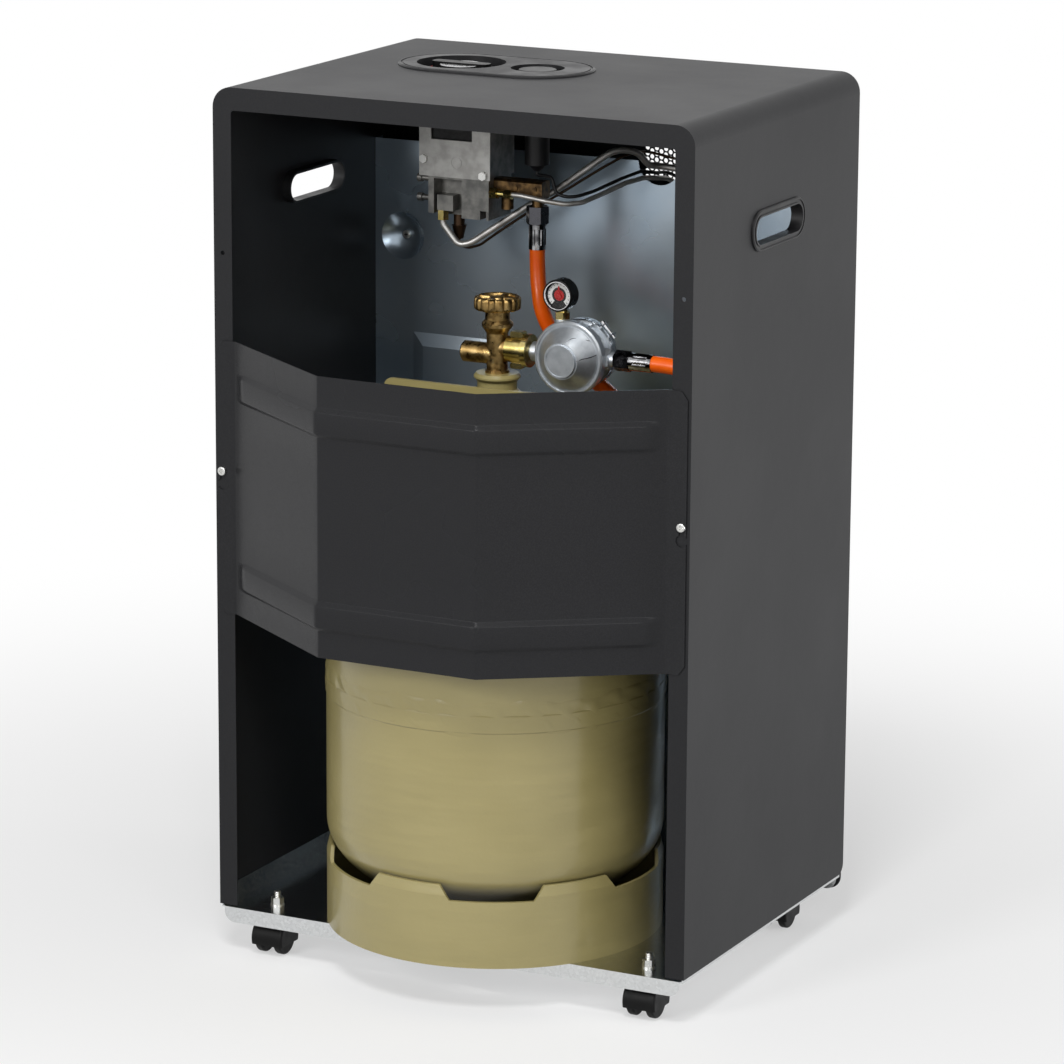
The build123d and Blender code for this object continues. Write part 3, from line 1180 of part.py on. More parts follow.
def thermocouple_points():
    x, y = VALVE_X + THERMO_PORT_X, REAR_Y - THERMO_PORT_IN
    z = BODY_LOW - THERMO_NUT_H - THERMO_PLUG_H
    lane = -HALF_W + LANE_THERMO
    return [
        (x, y, z),
        (x, y, z - 6),
        (x - 8, y - 1, z - 9),
        (x - 20, y - 3, z - 5),
        (x - 37, y - 7, z + 8),
        drop_point(42, 234, 131),
        drop_point(14, 249, 112),
        drop_point(-17, 266, 90),
        drop_point(-32, 278, 80),
        (NOTCH_X + 22, PARTITION_Y, PARTITION_TOP + 7),
        (NOTCH_X + 20, PARTITION_Y - PLANE_THERMO, PARTITION_TOP + 6),
        (NOTCH_X - 40, PARTITION_Y - PLANE_THERMO, PARTITION_TOP - 4),
        (lane, PARTITION_Y - PLANE_THERMO, PARTITION_TOP - 60),
        (lane, PARTITION_Y - PLANE_THERMO, TOP_Z - DIMPLE_DROP - DIMPLE_R - 30),
        (lane, PARTITION_Y - PLANE_THERMO_LOW, TOP_Z - DIMPLE_DROP - DIMPLE_R - 60),
        (lane, PARTITION_Y - PLANE_THERMO_LOW, MANIFOLD_Z - THERMO_BELOW + 14),
        (lane + 14, PARTITION_Y - PLANE_THERMO_LOW, MANIFOLD_Z - THERMO_BELOW),
        (SENSOR_X - 14, PARTITION_Y - PLANE_THERMO_LOW, MANIFOLD_Z - THERMO_BELOW),
        (SENSOR_X, PILOT_Y, MANIFOLD_Z - THERMO_BELOW + 4),
        (SENSOR_X, PILOT_Y, PILOT_Z + 12),
    ]


def make_thermocouple():
    """Sensor tip at the pilot, its thin lead and its plug with the nut at the valve."""
    points = thermocouple_points()
    lead = smooth_bar(points, THERMO_R, 12.0)
    x, y, z = points[-1]
    lead += rod(2.6, (x, y, z - 22), (x, y, z + 12))
    x, y, z = points[0]
    lead += cone(3.6, 6.8, (x, y, z - 0.5), (x, y, z + THERMO_PLUG_H))
    return lead + rod(5.0, (x, y, z + THERMO_PLUG_H), (x, y, BODY_LOW))


def make_tube_nuts():
    """Brass nuts that hold the main tube and the pilot tube in the valve."""
    x, y, z = main_tube_points()[0]
    main = hex_bar(9.5, (x, y, z), (x, y, MAIN_PORT_Z))
    x, y, z = pilot_tube_points()[0]
    side = VALVE_X - BODY_RIGHT
    pilot = hex_bar(9.0, (side, y, z), (side - 7, y, z), 15)
    pilot += rod(3.2, (side - 7, y, z), (x, y, z))
    pilot += hex_bar(7.5, (x + 7, y, z), (x, y, z), 15)
    return [main, pilot]


# ================================================================ burner side
def vent_holes(cx):
    """Staggered field of round holes, in upright columns."""
    holes = []
    column_step = VENT_PITCH * math.sin(math.radians(60))
    for column in range(VENT_COLUMNS):
        x = cx + (column - (VENT_COLUMNS - 1) / 2) * column_step
        shift = VENT_PITCH / 4 if column % 2 else -VENT_PITCH / 4
        for row in range(VENT_ROWS):
            z = TOP_Z - VENT_DROP + (row - (VENT_ROWS - 1) / 2) * VENT_PITCH + shift
            holes.append(Pos(x, z) * Circle(VENT_HOLE_R))
    return holes


def make_front_panel():
    half = HALF_W - SHEET - SEAM
    low = RIDE - PANEL_SKIRT
    top = TOP_Z - SHEET - SEAM
    face = Pos(0, (low + top) / 2) * Rectangle(2 * half, top - low)
    face = fillet(face.vertices().group_by(Axis.Y)[0], PANEL_SKIRT_R)
    face = fillet(face.vertices().group_by(Axis.Y)[-1], WRAP_CORNER_R - SHEET)
    window = Pos(0, BURNER_Z) * Rectangle(WINDOW_W, WINDOW_H)
    face -= fillet(window.vertices(), 8.0)
    face -= vent_holes(VENT_X)
    plane = Plane(origin=(0, PANEL_Y + SHEET, 0), x_dir=(1, 0, 0), z_dir=(0, -1, 0))
    panel = extrude(plane * face, SHEET)
    for side in (-1, 1):
        panel += block(side * (half - SHEET), side * half, PANEL_Y + SHEET,
                       PANEL_Y + PANEL_RETURN, RIDE + TRAY_SIDE_UP + 4, TOP_Z - WRAP_CORNER_R - 6)
    return panel


def make_burner_housing():
    """Open-fronted steel box behind the plaques, on feet and on two ears at the partition."""
    w, h = HOUSING_W / 2, HOUSING_H / 2
    box = block(-w, w, HOUSING_FRONT_Y, HOUSING_Y, BURNER_Z - h, BURNER_Z + h)
    box -= block(-w + SHEET, w - SHEET, HOUSING_FRONT_Y - 1, HOUSING_Y - SHEET,
                 BURNER_Z - h + SHEET, BURNER_Z + h - SHEET)
    for side in (-1, 1):
        for rise in (-1, 1):
            x, z = side * (w - 25), BURNER_Z + rise * (h - 25)
            seat = FIELD_FRONT_Y if z < TOP_Z - PANEL_EMBOSS_TOP else PARTITION_Y - SHEET / 2
            box += rod(6.0, (x, HOUSING_Y - 1, z), (x, seat, z))
        x, z = dimple_centre(side)
        ear_y = DIMPLE_SEAT_Y - SHEET
        ear = block(side * (w - 12), x + side * 7, ear_y - SHEET, ear_y, BURNER_Z + h - SHEET, z + 7)
        box += ear - rod(SCREW_R + 0.2, (x, ear_y - 2, z), (x, ear_y + 1, z))
    for k in range(PLAQUES):
        x = (k - 1) * PLAQUE_PITCH
        box -= rod(MIXER_R + 0.2, (x, MANIFOLD_Y, BURNER_Z - h - 1), (x, MANIFOLD_Y, BURNER_Z - h + 3))
    return box


def make_partition_screws():
    """Screws and nuts that hold the burner's ears in the two cups of the partition."""
    pieces = []
    for side in (-1, 1):
        x, z = dimple_centre(side)
        seat = DIMPLE_SEAT_Y + 0.5
        back = DIMPLE_SEAT_Y - 2 * SHEET
        screw = rod(SCREW_R, (x, back - 5, z), (x, seat, z))
        head = rod(SCREW_HEAD_R, (x, seat, z), (x, seat + SCREW_HEAD_H, z))
        head = fillet(head.edges().filter_by(GeomType.CIRCLE).sort_by(Axis.Y)[-1], 1.2)
        nut = hex_bar(7.0, (x, back - 3.2, z), (x, back, z))
        nut -= rod(SCREW_R, (x, back - 4, z), (x, back + 1, z))
        pieces += [screw + head, nut]
    return pieces


def make_plaque(place):
    """Ceramic plaque with upright grooves across its face."""
    x = (place - 1) * PLAQUE_PITCH
    w, h = PLAQUE_W / 2, PLAQUE_H / 2
    y0 = HOUSING_FRONT_Y
    plaque = block(x - w, x + w, y0, y0 + PLAQUE_T, BURNER_Z - h, BURNER_Z + h)
    for k in range(1, 8):
        gx = x - w + k * PLAQUE_W / 8
        plaque -= block(gx - 0.6, gx + 0.6, y0 - 1, y0 + 1.2, BURNER_Z - h - 1, BURNER_Z + h + 1)
    return plaque


def make_plaque_frame():
    """Stamped frame that clamps the three plaques to the housing."""
    w, h = HOUSING_W / 2, HOUSING_H / 2
    y = HOUSING_FRONT_Y
    frame = block(-w - 2, w + 2, y - FRAME_T, y, BURNER_Z - h - 2, BURNER_Z + h + 2)
    for k in range(PLAQUES):
        x = (k - 1) * PLAQUE_PITCH
        half_w, half_h = PLAQUE_W / 2 - FRAME_OVERLAP, PLAQUE_H / 2 - FRAME_OVERLAP
        frame -= block(x - half_w, x + half_w, y - FRAME_T - 1, y + 1, BURNER_Z - half_h,
                       BURNER_Z + half_h)
    # rails behind the frame hold the plaques' edges
    for sz in (-1, 1):
        z0 = BURNER_Z + sz * (PLAQUE_H / 2 + 0.5)
        z1 = BURNER_Z + sz * (HOUSING_H / 2 - SHEET - 0.5)
        frame += block(-w + 3, w - 3, y, y + PLAQUE_T, z0, z1)
    return frame


def make_gas_manifold():
    half = MANIFOLD_LEN / 2
    pipe = rod(MANIFOLD_R, (-half, MANIFOLD_Y, MANIFOLD_Z), (half, MANIFOLD_Y, MANIFOLD_Z))
    pipe += hex_bar(14.0, (-half - 10, MANIFOLD_Y, MANIFOLD_Z), (-half, MANIFOLD_Y, MANIFOLD_Z))
    pipe += rod(MANIFOLD_R + 1, (half, MANIFOLD_Y, MANIFOLD_Z), (half + 3, MANIFOLD_Y, MANIFOLD_Z))
    for side in (-1, 1):
        x = side * (half - 20)
        pipe += block(x - 8, x + 8, MANIFOLD_Y, FIELD_FRONT_Y, MANIFOLD_Z - 1.5, MANIFOLD_Z + 1.5)
    return pipe


def make_injectors():
    """Brass injectors with their mixing tubes, one for each plaque."""
    pieces = []
    top = BURNER_Z - HOUSING_H / 2
    for k in range(PLAQUES):
        x = (k - 1) * PLAQUE_PITCH
        nut_top = MANIFOLD_Z + MANIFOLD_R + 6
        jet = hex_bar(9.0, (x, MANIFOLD_Y, MANIFOLD_Z + MANIFOLD_R - 1), (x, MANIFOLD_Y, nut_top))
        jet += cone(4.0, MIXER_R, (x, MANIFOLD_Y, nut_top), (x, MANIFOLD_Y, top - 2))
        jet += rod(MIXER_R, (x, MANIFOLD_Y, top - 2), (x, MANIFOLD_Y, top + 12))
        jet -= rod(1.2, (x, MANIFOLD_Y, MANIFOLD_Z), (x, MANIFOLD_Y, top + 13))
        half = MANIFOLD_LEN / 2
        jet -= rod(MANIFOLD_R, (-half, MANIFOLD_Y, MANIFOLD_Z), (half, MANIFOLD_Y, MANIFOLD_Z))
        pieces.append(jet)
    return pieces


def make_pilot_burner():
    """Pilot head on a small bracket screwed under the plaque frame."""
    y = PILOT_Y
    face = HOUSING_FRONT_Y - FRAME_T
    plate = block(PILOT_X - 24, PILOT_X + 24, face - 1.5, face, PILOT_Z - 8, PILOT_Z + 10)
    shelf = block(PILOT_X - 24, PILOT_X + 24, y - 5, face, PILOT_Z - 8, PILOT_Z - 6.5)
    for x, radius in ((SENSOR_X, 2.6), (SPARK_X, 3.0)):
        shelf -= rod(radius, (x, y, PILOT_Z - 10), (x, y, PILOT_Z))
    head = rod(4.5, (PILOT_X, y, PILOT_Z - 8), (PILOT_X, y, PILOT_Z + 8))
    head += block(PILOT_X - 7, PILOT_X + 7, y - 3, y + 3, PILOT_Z + 8, PILOT_Z + 10)
    return plate + shelf + head


def make_spark_electrode():
    x, y = SPARK_X, PILOT_Y
    porcelain = rod(3.0, (x, y, PILOT_Z - 12), (x, y, PILOT_Z + 6))
    porcelain += rod(4.2, (x, y, PILOT_Z - 6.5), (x, y, PILOT_Z - 4))
    return porcelain + rod(0.9, (x, y, PILOT_Z + 6), (x, y, PILOT_Z + 16))


def make_burner_guard():
    """Wire guard: bent cross wires welded to upright bars, plugged into the front panel."""
    half_w, half_h = GUARD_W / 2, GUARD_H / 2
    back = PANEL_Y
    front = FRONT_Y - FRONT_OUT + WIRE_R
    pieces = []
    for k in range(WIRES):
        z = BURNER_Z - half_h + k * GUARD_H / (WIRES - 1)
        points = [(-half_w, back, z), (-half_w, front, z), (half_w, front, z), (half_w, back, z)]
        pieces.append(bar_along(tube_route(points, [9.0, 9.0]), WIRE_R))
    bar_y = front + WIRE_R + GUARD_BAR_R - 0.5
    guard = pieces[0]
    for piece in pieces[1:]:
        guard += piece
    for x in (-130.0, 0.0, 130.0):
        guard += rod(GUARD_BAR_R, (x, bar_y, BURNER_Z - half_h - 4), (x, bar_y, BURNER_Z + half_h + 4))
    return guard


# ================================================================ rear guard
def guard_plan(out):
    """Plan of the guard's outer face as (x, y) points; out moves the facets outward."""
    flange_y = REAR_Y + SEAM + GUARD_SHEET
    edge = HALF_W - GUARD_EDGE_IN
    left = [(edge, flange_y), (GUARD_BEND_X, flange_y)]
    fold_a = (GUARD_FOLD_LEFT, REAR_Y + GUARD_OUT)
    fold_b = (GUARD_FOLD_RIGHT, REAR_Y + GUARD_OUT)
    right = [(-GUARD_BEND_X, flange_y), (-edge, flange_y)]

    def shifted(bend, fold):
        """Start of the bead on a side facet, moved square to the facet."""
        run = Vector(fold[0] - bend[0], fold[1] - bend[1])
        step = run.normalized()
        normal = Vector(-step.Y, step.X)
        if normal.Y < 0:
            normal = normal * -1
        start = Vector(*bend) + step * BEAD_END_IN + normal * out
        slope = math.atan2(abs(run.Y), abs(run.X))
        fold_x = fold[0] + math.copysign(out * math.tan(slope / 2), fold[0])
        return (start.X, start.Y), (fold_x, fold[1] + out)

    start_a, top_a = shifted(left[1], fold_a)
    start_b, top_b = shifted(right[0], fold_b)
    return left + [start_a, top_a, top_b, start_b] + right


def guard_layer(out, z):
    """One horizontal section of the guard's sheet."""
    outer = guard_plan(out)
    inner = guard_plan(out - GUARD_SHEET)
    flange_in = REAR_Y + SEAM
    inner = [(x, flange_in) if i in (0, 1, 6, 7) else (x, y) for i, (x, y) in enumerate(inner)]
    points = [(x, y, z) for x, y in outer] + [(x, y, z) for x, y in reversed(inner)]
    return make_face(Polyline(*points, close=True))


def make_rear_guard():
    levels = [(GUARD_LOW, 0.0)]
    for low, high in BEADS:
        levels += [(low, 0.0), (low + BEAD_RAMP, BEAD_H), (high - BEAD_RAMP, BEAD_H), (high, 0.0)]
    levels.append((GUARD_TOP, 0.0))
    guard = None
    for (z0, out0), (z1, out1) in zip(levels, levels[1:]):
        span = loft([guard_layer(out0, RIDE + z0), guard_layer(out1, RIDE + z1)], ruled=True)
        guard = span if guard is None else guard + span
    mid = RIDE + (GUARD_LOW + GUARD_TOP) / 2
    frame = Pos(0, mid) * Rectangle(CAB_W - 2 * GUARD_EDGE_IN, GUARD_TOP - GUARD_LOW)
    frame = fillet(frame.vertices(), GUARD_CORNER_R)
    guard = guard & extrude(rear_plane(REAR_Y + GUARD_OUT + 20) * frame, GUARD_OUT + 40)
    for side in (-1, 1):
        x = side * (HALF_W - SCREW_IN)
        z = RIDE + SCREW_UP
        y0, y1 = REAR_Y - 1, REAR_Y + 5
        guard -= rod(KEY_HOLE_R, (x, y0, z - GUARD_LIFT), (x, y1, z - GUARD_LIFT))
        guard -= block(x - KEY_SLOT_R, x + KEY_SLOT_R, y0, y1, z - GUARD_LIFT, z)
        guard -= rod(KEY_SLOT_R, (x, y0, z), (x, y1, z))
    return guard


def make_guard_screws():
    pieces = []
    for side in (-1, 1):
        x, z = side * (HALF_W - SCREW_IN), RIDE + SCREW_UP
        seat = REAR_Y + SEAM + GUARD_SHEET + 0.2
        screw = rod(SCREW_R, (x, REAR_Y - 8, z), (x, seat, z))
        head = rod(SCREW_HEAD_R, (x, seat, z), (x, seat + SCREW_HEAD_H, z))
        head = fillet(head.edges().filter_by(GeomType.CIRCLE).sort_by(Axis.Y)[-1], 1.2)
        cross = block(x - 2.2, x + 2.2, seat + 1.4, seat + 5, z - 0.5, z + 0.5)
        cross += block(x - 0.5, x + 0.5, seat + 1.4, seat + 5, z - 2.2, z + 2.2)
        pieces.append(screw + head - cross)
    return pieces


# ================================================================ all pieces
def make_all():
    parts = {
        "cabinet_wrap": make_cabinet_wrap(),
        "base_tray": make_base_tray(),
        "partition_wall": make_partition_wall(),
        "front_panel": make_front_panel(),
        "burner_guard": make_burner_guard(),
        "burner_housing": make_burner_housing(),
        "plaque_frame": make_plaque_frame(),
        "gas_manifold": make_gas_manifold(),
        "injectors": make_injectors(),
        "partition_screws": make_partition_screws(),
        "pilot_burner": make_pilot_burner(),
        "spark_electrode": make_spark_electrode(),
        "thermocouple": make_thermocouple(),
        "ignition_lead": make_ignition_lead(),
        "main_gas_tube": make_main_tube(),
        "pilot_gas_tube": make_pilot_tube(),
        "tube_nuts": make_tube_nuts(),
        "hand_grip_left": make_hand_grip(1),
        "hand_grip_right": make_hand_grip(-1),
        "control_bezel": make_control_bezel(),
        "control_knob": make_control_knob(),
        "knob_spindle": make_knob_spindle(),
        "igniter_button": make_igniter_button(),
        "igniter_body": make_igniter_body(),
        "gas_valve_body": make_gas_valve_body(),
        "valve_cover_plate": make_valve_cover_plate(),
        "valve_screws": make_valve_screws(),
        "inlet_elbow": make_inlet_elbow(),
        "hose_nuts": make_hose_nuts(),
        "hose_ferrules": make_hose_ferrules(),
        "gas_hose": make_gas_hose(),
        "regulator_body": make_regulator_body(),
        "regulator_cover": make_regulator_cover(),
        "regulator_clip": make_regulator_clip(),
        "union_nut": make_union_nut(),
        "gauge_stem": make_gauge_stem(),
        "gauge_case": make_gauge_case(),
        "gauge_dial": make_gauge_dial(),
        "gauge_lens": make_gauge_lens(),
        "gauge_pointer": make_gauge_pointer(),
        "bottle_shell": make_bottle_shell(),
        "bottle_foot_ring": make_foot_ring(),
        "bottle_handle": make_bottle_handle(),
        "bottle_neck_ring": make_neck_ring(),
        "bottle_valve_body": make_bottle_valve(),
        "bottle_handwheel": make_handwheel(),
        "rear_guard": make_rear_guard(),
        "guard_screws": make_guard_screws(),
        "castor_fixings": make_castor_fixings(),
    }
    for k, name in enumerate(("right", "middle", "left")):
        parts["plaque_" + name] = make_plaque(k)
    for name, place in castor_places().items():
        parts["castor_hood_" + name] = make_castor_hood(place)
        parts["castor_wheels_" + name] = make_castor_wheels(place)
    return parts


def main():
    for name, shape in make_all().items():
        solids = []
        for piece in shape if isinstance(shape, list) else [shape]:
            solids += piece.solids()
        export_step(solids[0] if len(solids) == 1 else Compound(children=solids),
                    "parts/" + name + ".step")


main()
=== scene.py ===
# %% [markdown]
# # A portable gas cabinet heater, seen from its open rear
# The CAD parts come in as a fixed frame: each is already in place, in metres, with the floor at
# Z = 0 and the open rear towards +Y. Blender adds the looks: the finishes, the rubber hose, the
# printed and drilled details that are too fine for the CAD, the light and the camera.

# %% Load the frame
import json
import math

import bmesh
import bpy
from mathutils import Matrix, Vector


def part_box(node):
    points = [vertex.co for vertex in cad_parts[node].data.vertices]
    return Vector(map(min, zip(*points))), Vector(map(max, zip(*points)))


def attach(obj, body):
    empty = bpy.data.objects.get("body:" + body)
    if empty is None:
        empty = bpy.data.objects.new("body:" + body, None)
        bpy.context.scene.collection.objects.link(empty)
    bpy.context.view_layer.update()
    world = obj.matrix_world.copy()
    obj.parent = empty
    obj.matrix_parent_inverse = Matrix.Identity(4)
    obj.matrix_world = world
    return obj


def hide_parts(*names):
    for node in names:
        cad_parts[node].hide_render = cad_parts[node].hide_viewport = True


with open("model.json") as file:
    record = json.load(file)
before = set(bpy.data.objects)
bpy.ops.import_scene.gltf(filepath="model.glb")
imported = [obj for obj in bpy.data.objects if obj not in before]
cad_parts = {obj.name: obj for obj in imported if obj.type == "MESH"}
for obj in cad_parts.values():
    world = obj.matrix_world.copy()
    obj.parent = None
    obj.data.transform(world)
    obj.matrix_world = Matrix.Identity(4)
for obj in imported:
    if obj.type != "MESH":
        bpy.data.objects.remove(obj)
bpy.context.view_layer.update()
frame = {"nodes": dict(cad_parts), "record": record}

# %% [markdown]
# ## The camera
# The object was photographed from far away with a long lens, from above and from one side of its
# open rear. The place, the angles and the lens come from the corners of the cabinet in the photo.
# The camera looks slightly down, with no shift, so that every other view of the object works too.

# %% Place the camera
CAMERA_AT = Vector((-1.907, 3.761, 1.421))
YAW, PITCH, ROLL = 26.72, 13.79, 0.35
LENS_MM, SENSOR_MM, SIGHT_END = 165.8, 36.0, 60.0
lens = bpy.data.cameras.new("photo_camera")
lens.lens = LENS_MM
lens.sensor_width = SENSOR_MM
lens.clip_end = SIGHT_END
camera = bpy.data.objects.new("photo_camera", lens)
bpy.context.scene.collection.objects.link(camera)
yaw, pitch = math.radians(YAW), math.radians(PITCH)
sight = Vector((math.sin(yaw) * math.cos(pitch), -math.cos(yaw) * math.cos(pitch), -math.sin(pitch)))
turn = sight.to_track_quat("-Z", "Y").to_matrix() @ Matrix.Rotation(math.radians(ROLL), 3, "Z")
camera.matrix_world = Matrix.Translation(CAMERA_AT) @ turn.to_4x4()
bpy.context.scene.camera = camera
print("camera at", tuple(round(v, 3) for v in CAMERA_AT), "lens", LENS_MM, "mm")

# %% [markdown]
# ## The rubber hose
# A 14 mm rubber hose drops from the gas valve, passes behind the regulator, and comes round to
# its outlet from the side. It is a NURBS curve of order 3 through the route's own points. Such a
# curve bends evenly, as rubber does, where a line of sampled points would look like bent wire.

# %% Run the hose
HOSE_ROUTE = [
    (0.021, -0.07625, 0.6265), (0.021, -0.07625, 0.6005), (0.008, -0.06225, 0.5645),
    (-0.037, -0.03325, 0.540), (-0.081, -0.00725, 0.521), (-0.129, 0.00475, 0.495),
    (-0.171, 0.01475, 0.468), (-0.208, 0.02675, 0.481), (-0.220, 0.03875, 0.515),
    (-0.210, 0.04175, 0.549), (-0.184, 0.04375, 0.561), (-0.151, 0.04375, 0.561),
]
HOSE_RADIUS = 0.007


def smooth_tube(name, route, radius):
    """One smooth tube along the route; the point radius sets its size, so its box fits it too."""
    curve = bpy.data.curves.new(name, "CURVE")
    curve.dimensions = "3D"
    curve.resolution_u = 16
    curve.bevel_depth = 1.0
    curve.bevel_resolution = 8
    curve.use_fill_caps = True
    line = curve.splines.new("NURBS")
    line.points.add(len(route) - 1)
    for point, place in zip(line.points, route):
        point.co = (*place, 1.0)
        point.radius = radius
    line.order_u = 3
    line.use_endpoint_u = True
    piece = bpy.data.objects.new(name, curve)
    bpy.context.scene.collection.objects.link(piece)
    return piece


hose = smooth_tube("rubber_hose", HOSE_ROUTE, HOSE_RADIUS)
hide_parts("gas_hose")
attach(hose, "heater_cabinet")
print("hose with", len(HOSE_ROUTE), "route points")

# %% [markdown]
# ## Floor and light
# The photo is a plain studio picture on white. A soft lamp left of the camera lights the open
# bay. A weaker one right of it softens the shadows, a small one high in front draws the bright
# lines on the guard's beads, and a low one lights the side wall from below. The floor is pale,
# keeps a soft shadow near the castors, and turns to the white of the backdrop further out. Lamps
# stay low, so the colours render as they are written.

# %% Lay the floor
def add_node(tree, kind, links=(), **values):
    """Adds a node, sets its values by name, and joins (input, output) pairs to it."""
    node = tree.nodes.new(kind)
    for key, value in values.items():
        if hasattr(node, key):
            setattr(node, key, value)
        else:
            node.inputs[key.replace("_", " ")].default_value = value
    for key, source in links:
        tree.links.new(source, node.inputs[key])
    return node


def white_for_lens(tree):
    """1 on camera, mirror and glass rays, and 0 on the rays that light the object."""
    rays = add_node(tree, "ShaderNodeLightPath").outputs
    seen = add_node(tree, "ShaderNodeMath", [
        (0, rays["Is Camera Ray"]), (1, rays["Is Glossy Ray"]),
    ], operation="MAXIMUM")
    return add_node(tree, "ShaderNodeMath", [
        (0, seen.outputs[0]), (1, rays["Is Transmission Ray"]),
    ], operation="MAXIMUM").outputs[0]


FLOOR_REACH = 30.0
PAPER_GREY = 0.86
# the floor glows a little up to the first distance, and fully from the second
SHADOW_TO, WHITE_FROM, NEAR_GLOW = 0.25, 1.5, 0.45
floor_corners = [(FLOOR_REACH * x, FLOOR_REACH * y, 0) for x, y in ((-1, -1), (1, -1), (1, 1), (-1, 1))]
floor_mesh = bpy.data.meshes.new("studio_floor")
floor_mesh.from_pydata(floor_corners, [], [(0, 1, 2, 3)])
floor = bpy.data.objects.new("studio_floor", floor_mesh)
bpy.context.scene.collection.objects.link(floor)
paper = bpy.data.materials.new("studio_paper")
paper.use_nodes = True
tree = paper.node_tree
tree.nodes.clear()
place = add_node(tree, "ShaderNodeTexCoord")
away = add_node(tree, "ShaderNodeVectorMath", [(0, place.outputs["Object"])], operation="LENGTH")
fade = add_node(tree, "ShaderNodeMapRange", [("Value", away.outputs["Value"])],
                interpolation_type="SMOOTHSTEP", From_Min=SHADOW_TO, From_Max=WHITE_FROM,
                To_Min=NEAR_GLOW, To_Max=1.0)
share = add_node(tree, "ShaderNodeMath", [(0, fade.outputs[0]), (1, white_for_lens(tree))],
                 operation="MULTIPLY")
matt = add_node(tree, "ShaderNodeBsdfDiffuse", Color=(PAPER_GREY, PAPER_GREY, PAPER_GREY, 1.0))
glow = add_node(tree, "ShaderNodeEmission", Strength=1.0)
mix = add_node(tree, "ShaderNodeMixShader", [
    (0, share.outputs[0]), (1, matt.outputs[0]), (2, glow.outputs[0]),
])
add_node(tree, "ShaderNodeOutputMaterial", [("Surface", mix.outputs[0])])
floor_mesh.materials.append(paper)
print("floor laid,", 2 * FLOOR_REACH, "m wide")

# %% Light the studio
STUDIO_GREY = 0.28
# name, place, aim, width in metres, watts
LAMPS = [
    ("key_box", (0.9, 3.5, 1.9), (0.0, 0.0, 0.4), 0.9, 50),
    ("second_box", (-2.5, 2.5, 1.9), (0.0, 0.0, 0.4), 1.3, 20),
    ("top_box", (-0.6, 1.9, 3.0), (0.0, 0.1, 0.6), 0.8, 50),
    ("side_box", (-2.4, -0.9, 0.2), (-0.2, 0.0, 0.0), 0.8, 36),
]
world = bpy.data.worlds.new("studio")
bpy.context.scene.world = world
world.use_nodes = True
tree = world.node_tree
tree.nodes.clear()
level = add_node(tree, "ShaderNodeMapRange", [("Value", white_for_lens(tree))], To_Min=STUDIO_GREY)
sky = add_node(tree, "ShaderNodeBackground", [("Strength", level.outputs[0])], Color=(1.0, 1.0, 1.0, 1.0))
add_node(tree, "ShaderNodeOutputWorld", [("Surface", sky.outputs[0])])


def soft_lamp(name, place, aim, width, watts):
    """A square soft box that faces its aim."""
    lamp = bpy.data.lights.new(name, "AREA")
    lamp.size = width
    lamp.energy = watts
    lamp_object = bpy.data.objects.new(name, lamp)
    bpy.context.scene.collection.objects.link(lamp_object)
    lamp_object.location = place
    lamp_object.rotation_euler = (Vector(aim) - Vector(place)).to_track_quat("-Z", "Y").to_euler()


for lamp_row in LAMPS:
    soft_lamp(*lamp_row)
bpy.context.scene.view_settings.view_transform = "Standard"
print("lamps:", [row[0] for row in LAMPS])

# %% [markdown]
# ## Tools for finishes
# Every finish starts as one principled shader. Three small helpers then add what the eye looks
# for: a mottle that varies the colour, a smudge that varies the gloss, and a grain that moves
# the surface. All three read Object coordinates, so a pattern stays fixed to the metal. A fourth
# helper paints shade on the faces that look down: it darkens their colour and weakens their coat
# and mirror.

# %% Helpers for finishes
def finish(name, colour, roughness, metallic=0.0, **more):
    """A new material with its plain values set on the shader's own sockets."""
    material = bpy.data.materials.new(name)
    material.use_nodes = True
    shader = material.node_tree.nodes["Principled BSDF"]
    shader.inputs["Base Color"].default_value = (*colour, 1.0)
    shader.inputs["Roughness"].default_value = roughness
    shader.inputs["Metallic"].default_value = metallic
    for key, value in more.items():
        shader.inputs[key.replace("_", " ")].default_value = value
    return material


def feed(material, socket, source):
    """Joins a value to a socket of the finish's shader."""
    tree = material.node_tree
    tree.links.new(source, tree.nodes["Principled BSDF"].inputs[socket])


def noise(material, scale, detail=3.0, stretch=(1, 1, 1)):
    """The value of a noise fixed to the piece; scale is in waves per metre."""
    tree = material.node_tree
    place = add_node(tree, "ShaderNodeTexCoord")
    mapping = add_node(tree, "ShaderNodeMapping", [("Vector", place.outputs["Object"])],
                       Scale=[s * scale for s in stretch])
    return add_node(tree, "ShaderNodeTexNoise", [("Vector", mapping.outputs[0])],
                    Scale=1.0, Detail=detail).outputs[0]


def mottle(material, scale, colours, detail=4.0):
    """Base colour from a ramp of (position, colour) over a noise."""
    ramp = add_node(material.node_tree, "ShaderNodeValToRGB", [(0, noise(material, scale, detail))])
    ramp.color_ramp.interpolation = "EASE"
    stops = ramp.color_ramp.elements
    while len(stops) < len(colours):
        stops.new(0.5)
    for stop, (position, colour) in zip(stops, colours):
        stop.position = position
        stop.color = (*colour, 1.0)
    feed(material, "Base Color", ramp.outputs[0])


def smudge(material, scale, low, high):
    """Gloss that wanders between two roughness values."""
    span = add_node(material.node_tree, "ShaderNodeMapRange", [("Value", noise(material, scale))],
                    interpolation_type="SMOOTHSTEP", From_Min=0.3, From_Max=0.7, To_Min=low, To_Max=high)
    feed(material, "Roughness", span.outputs[0])


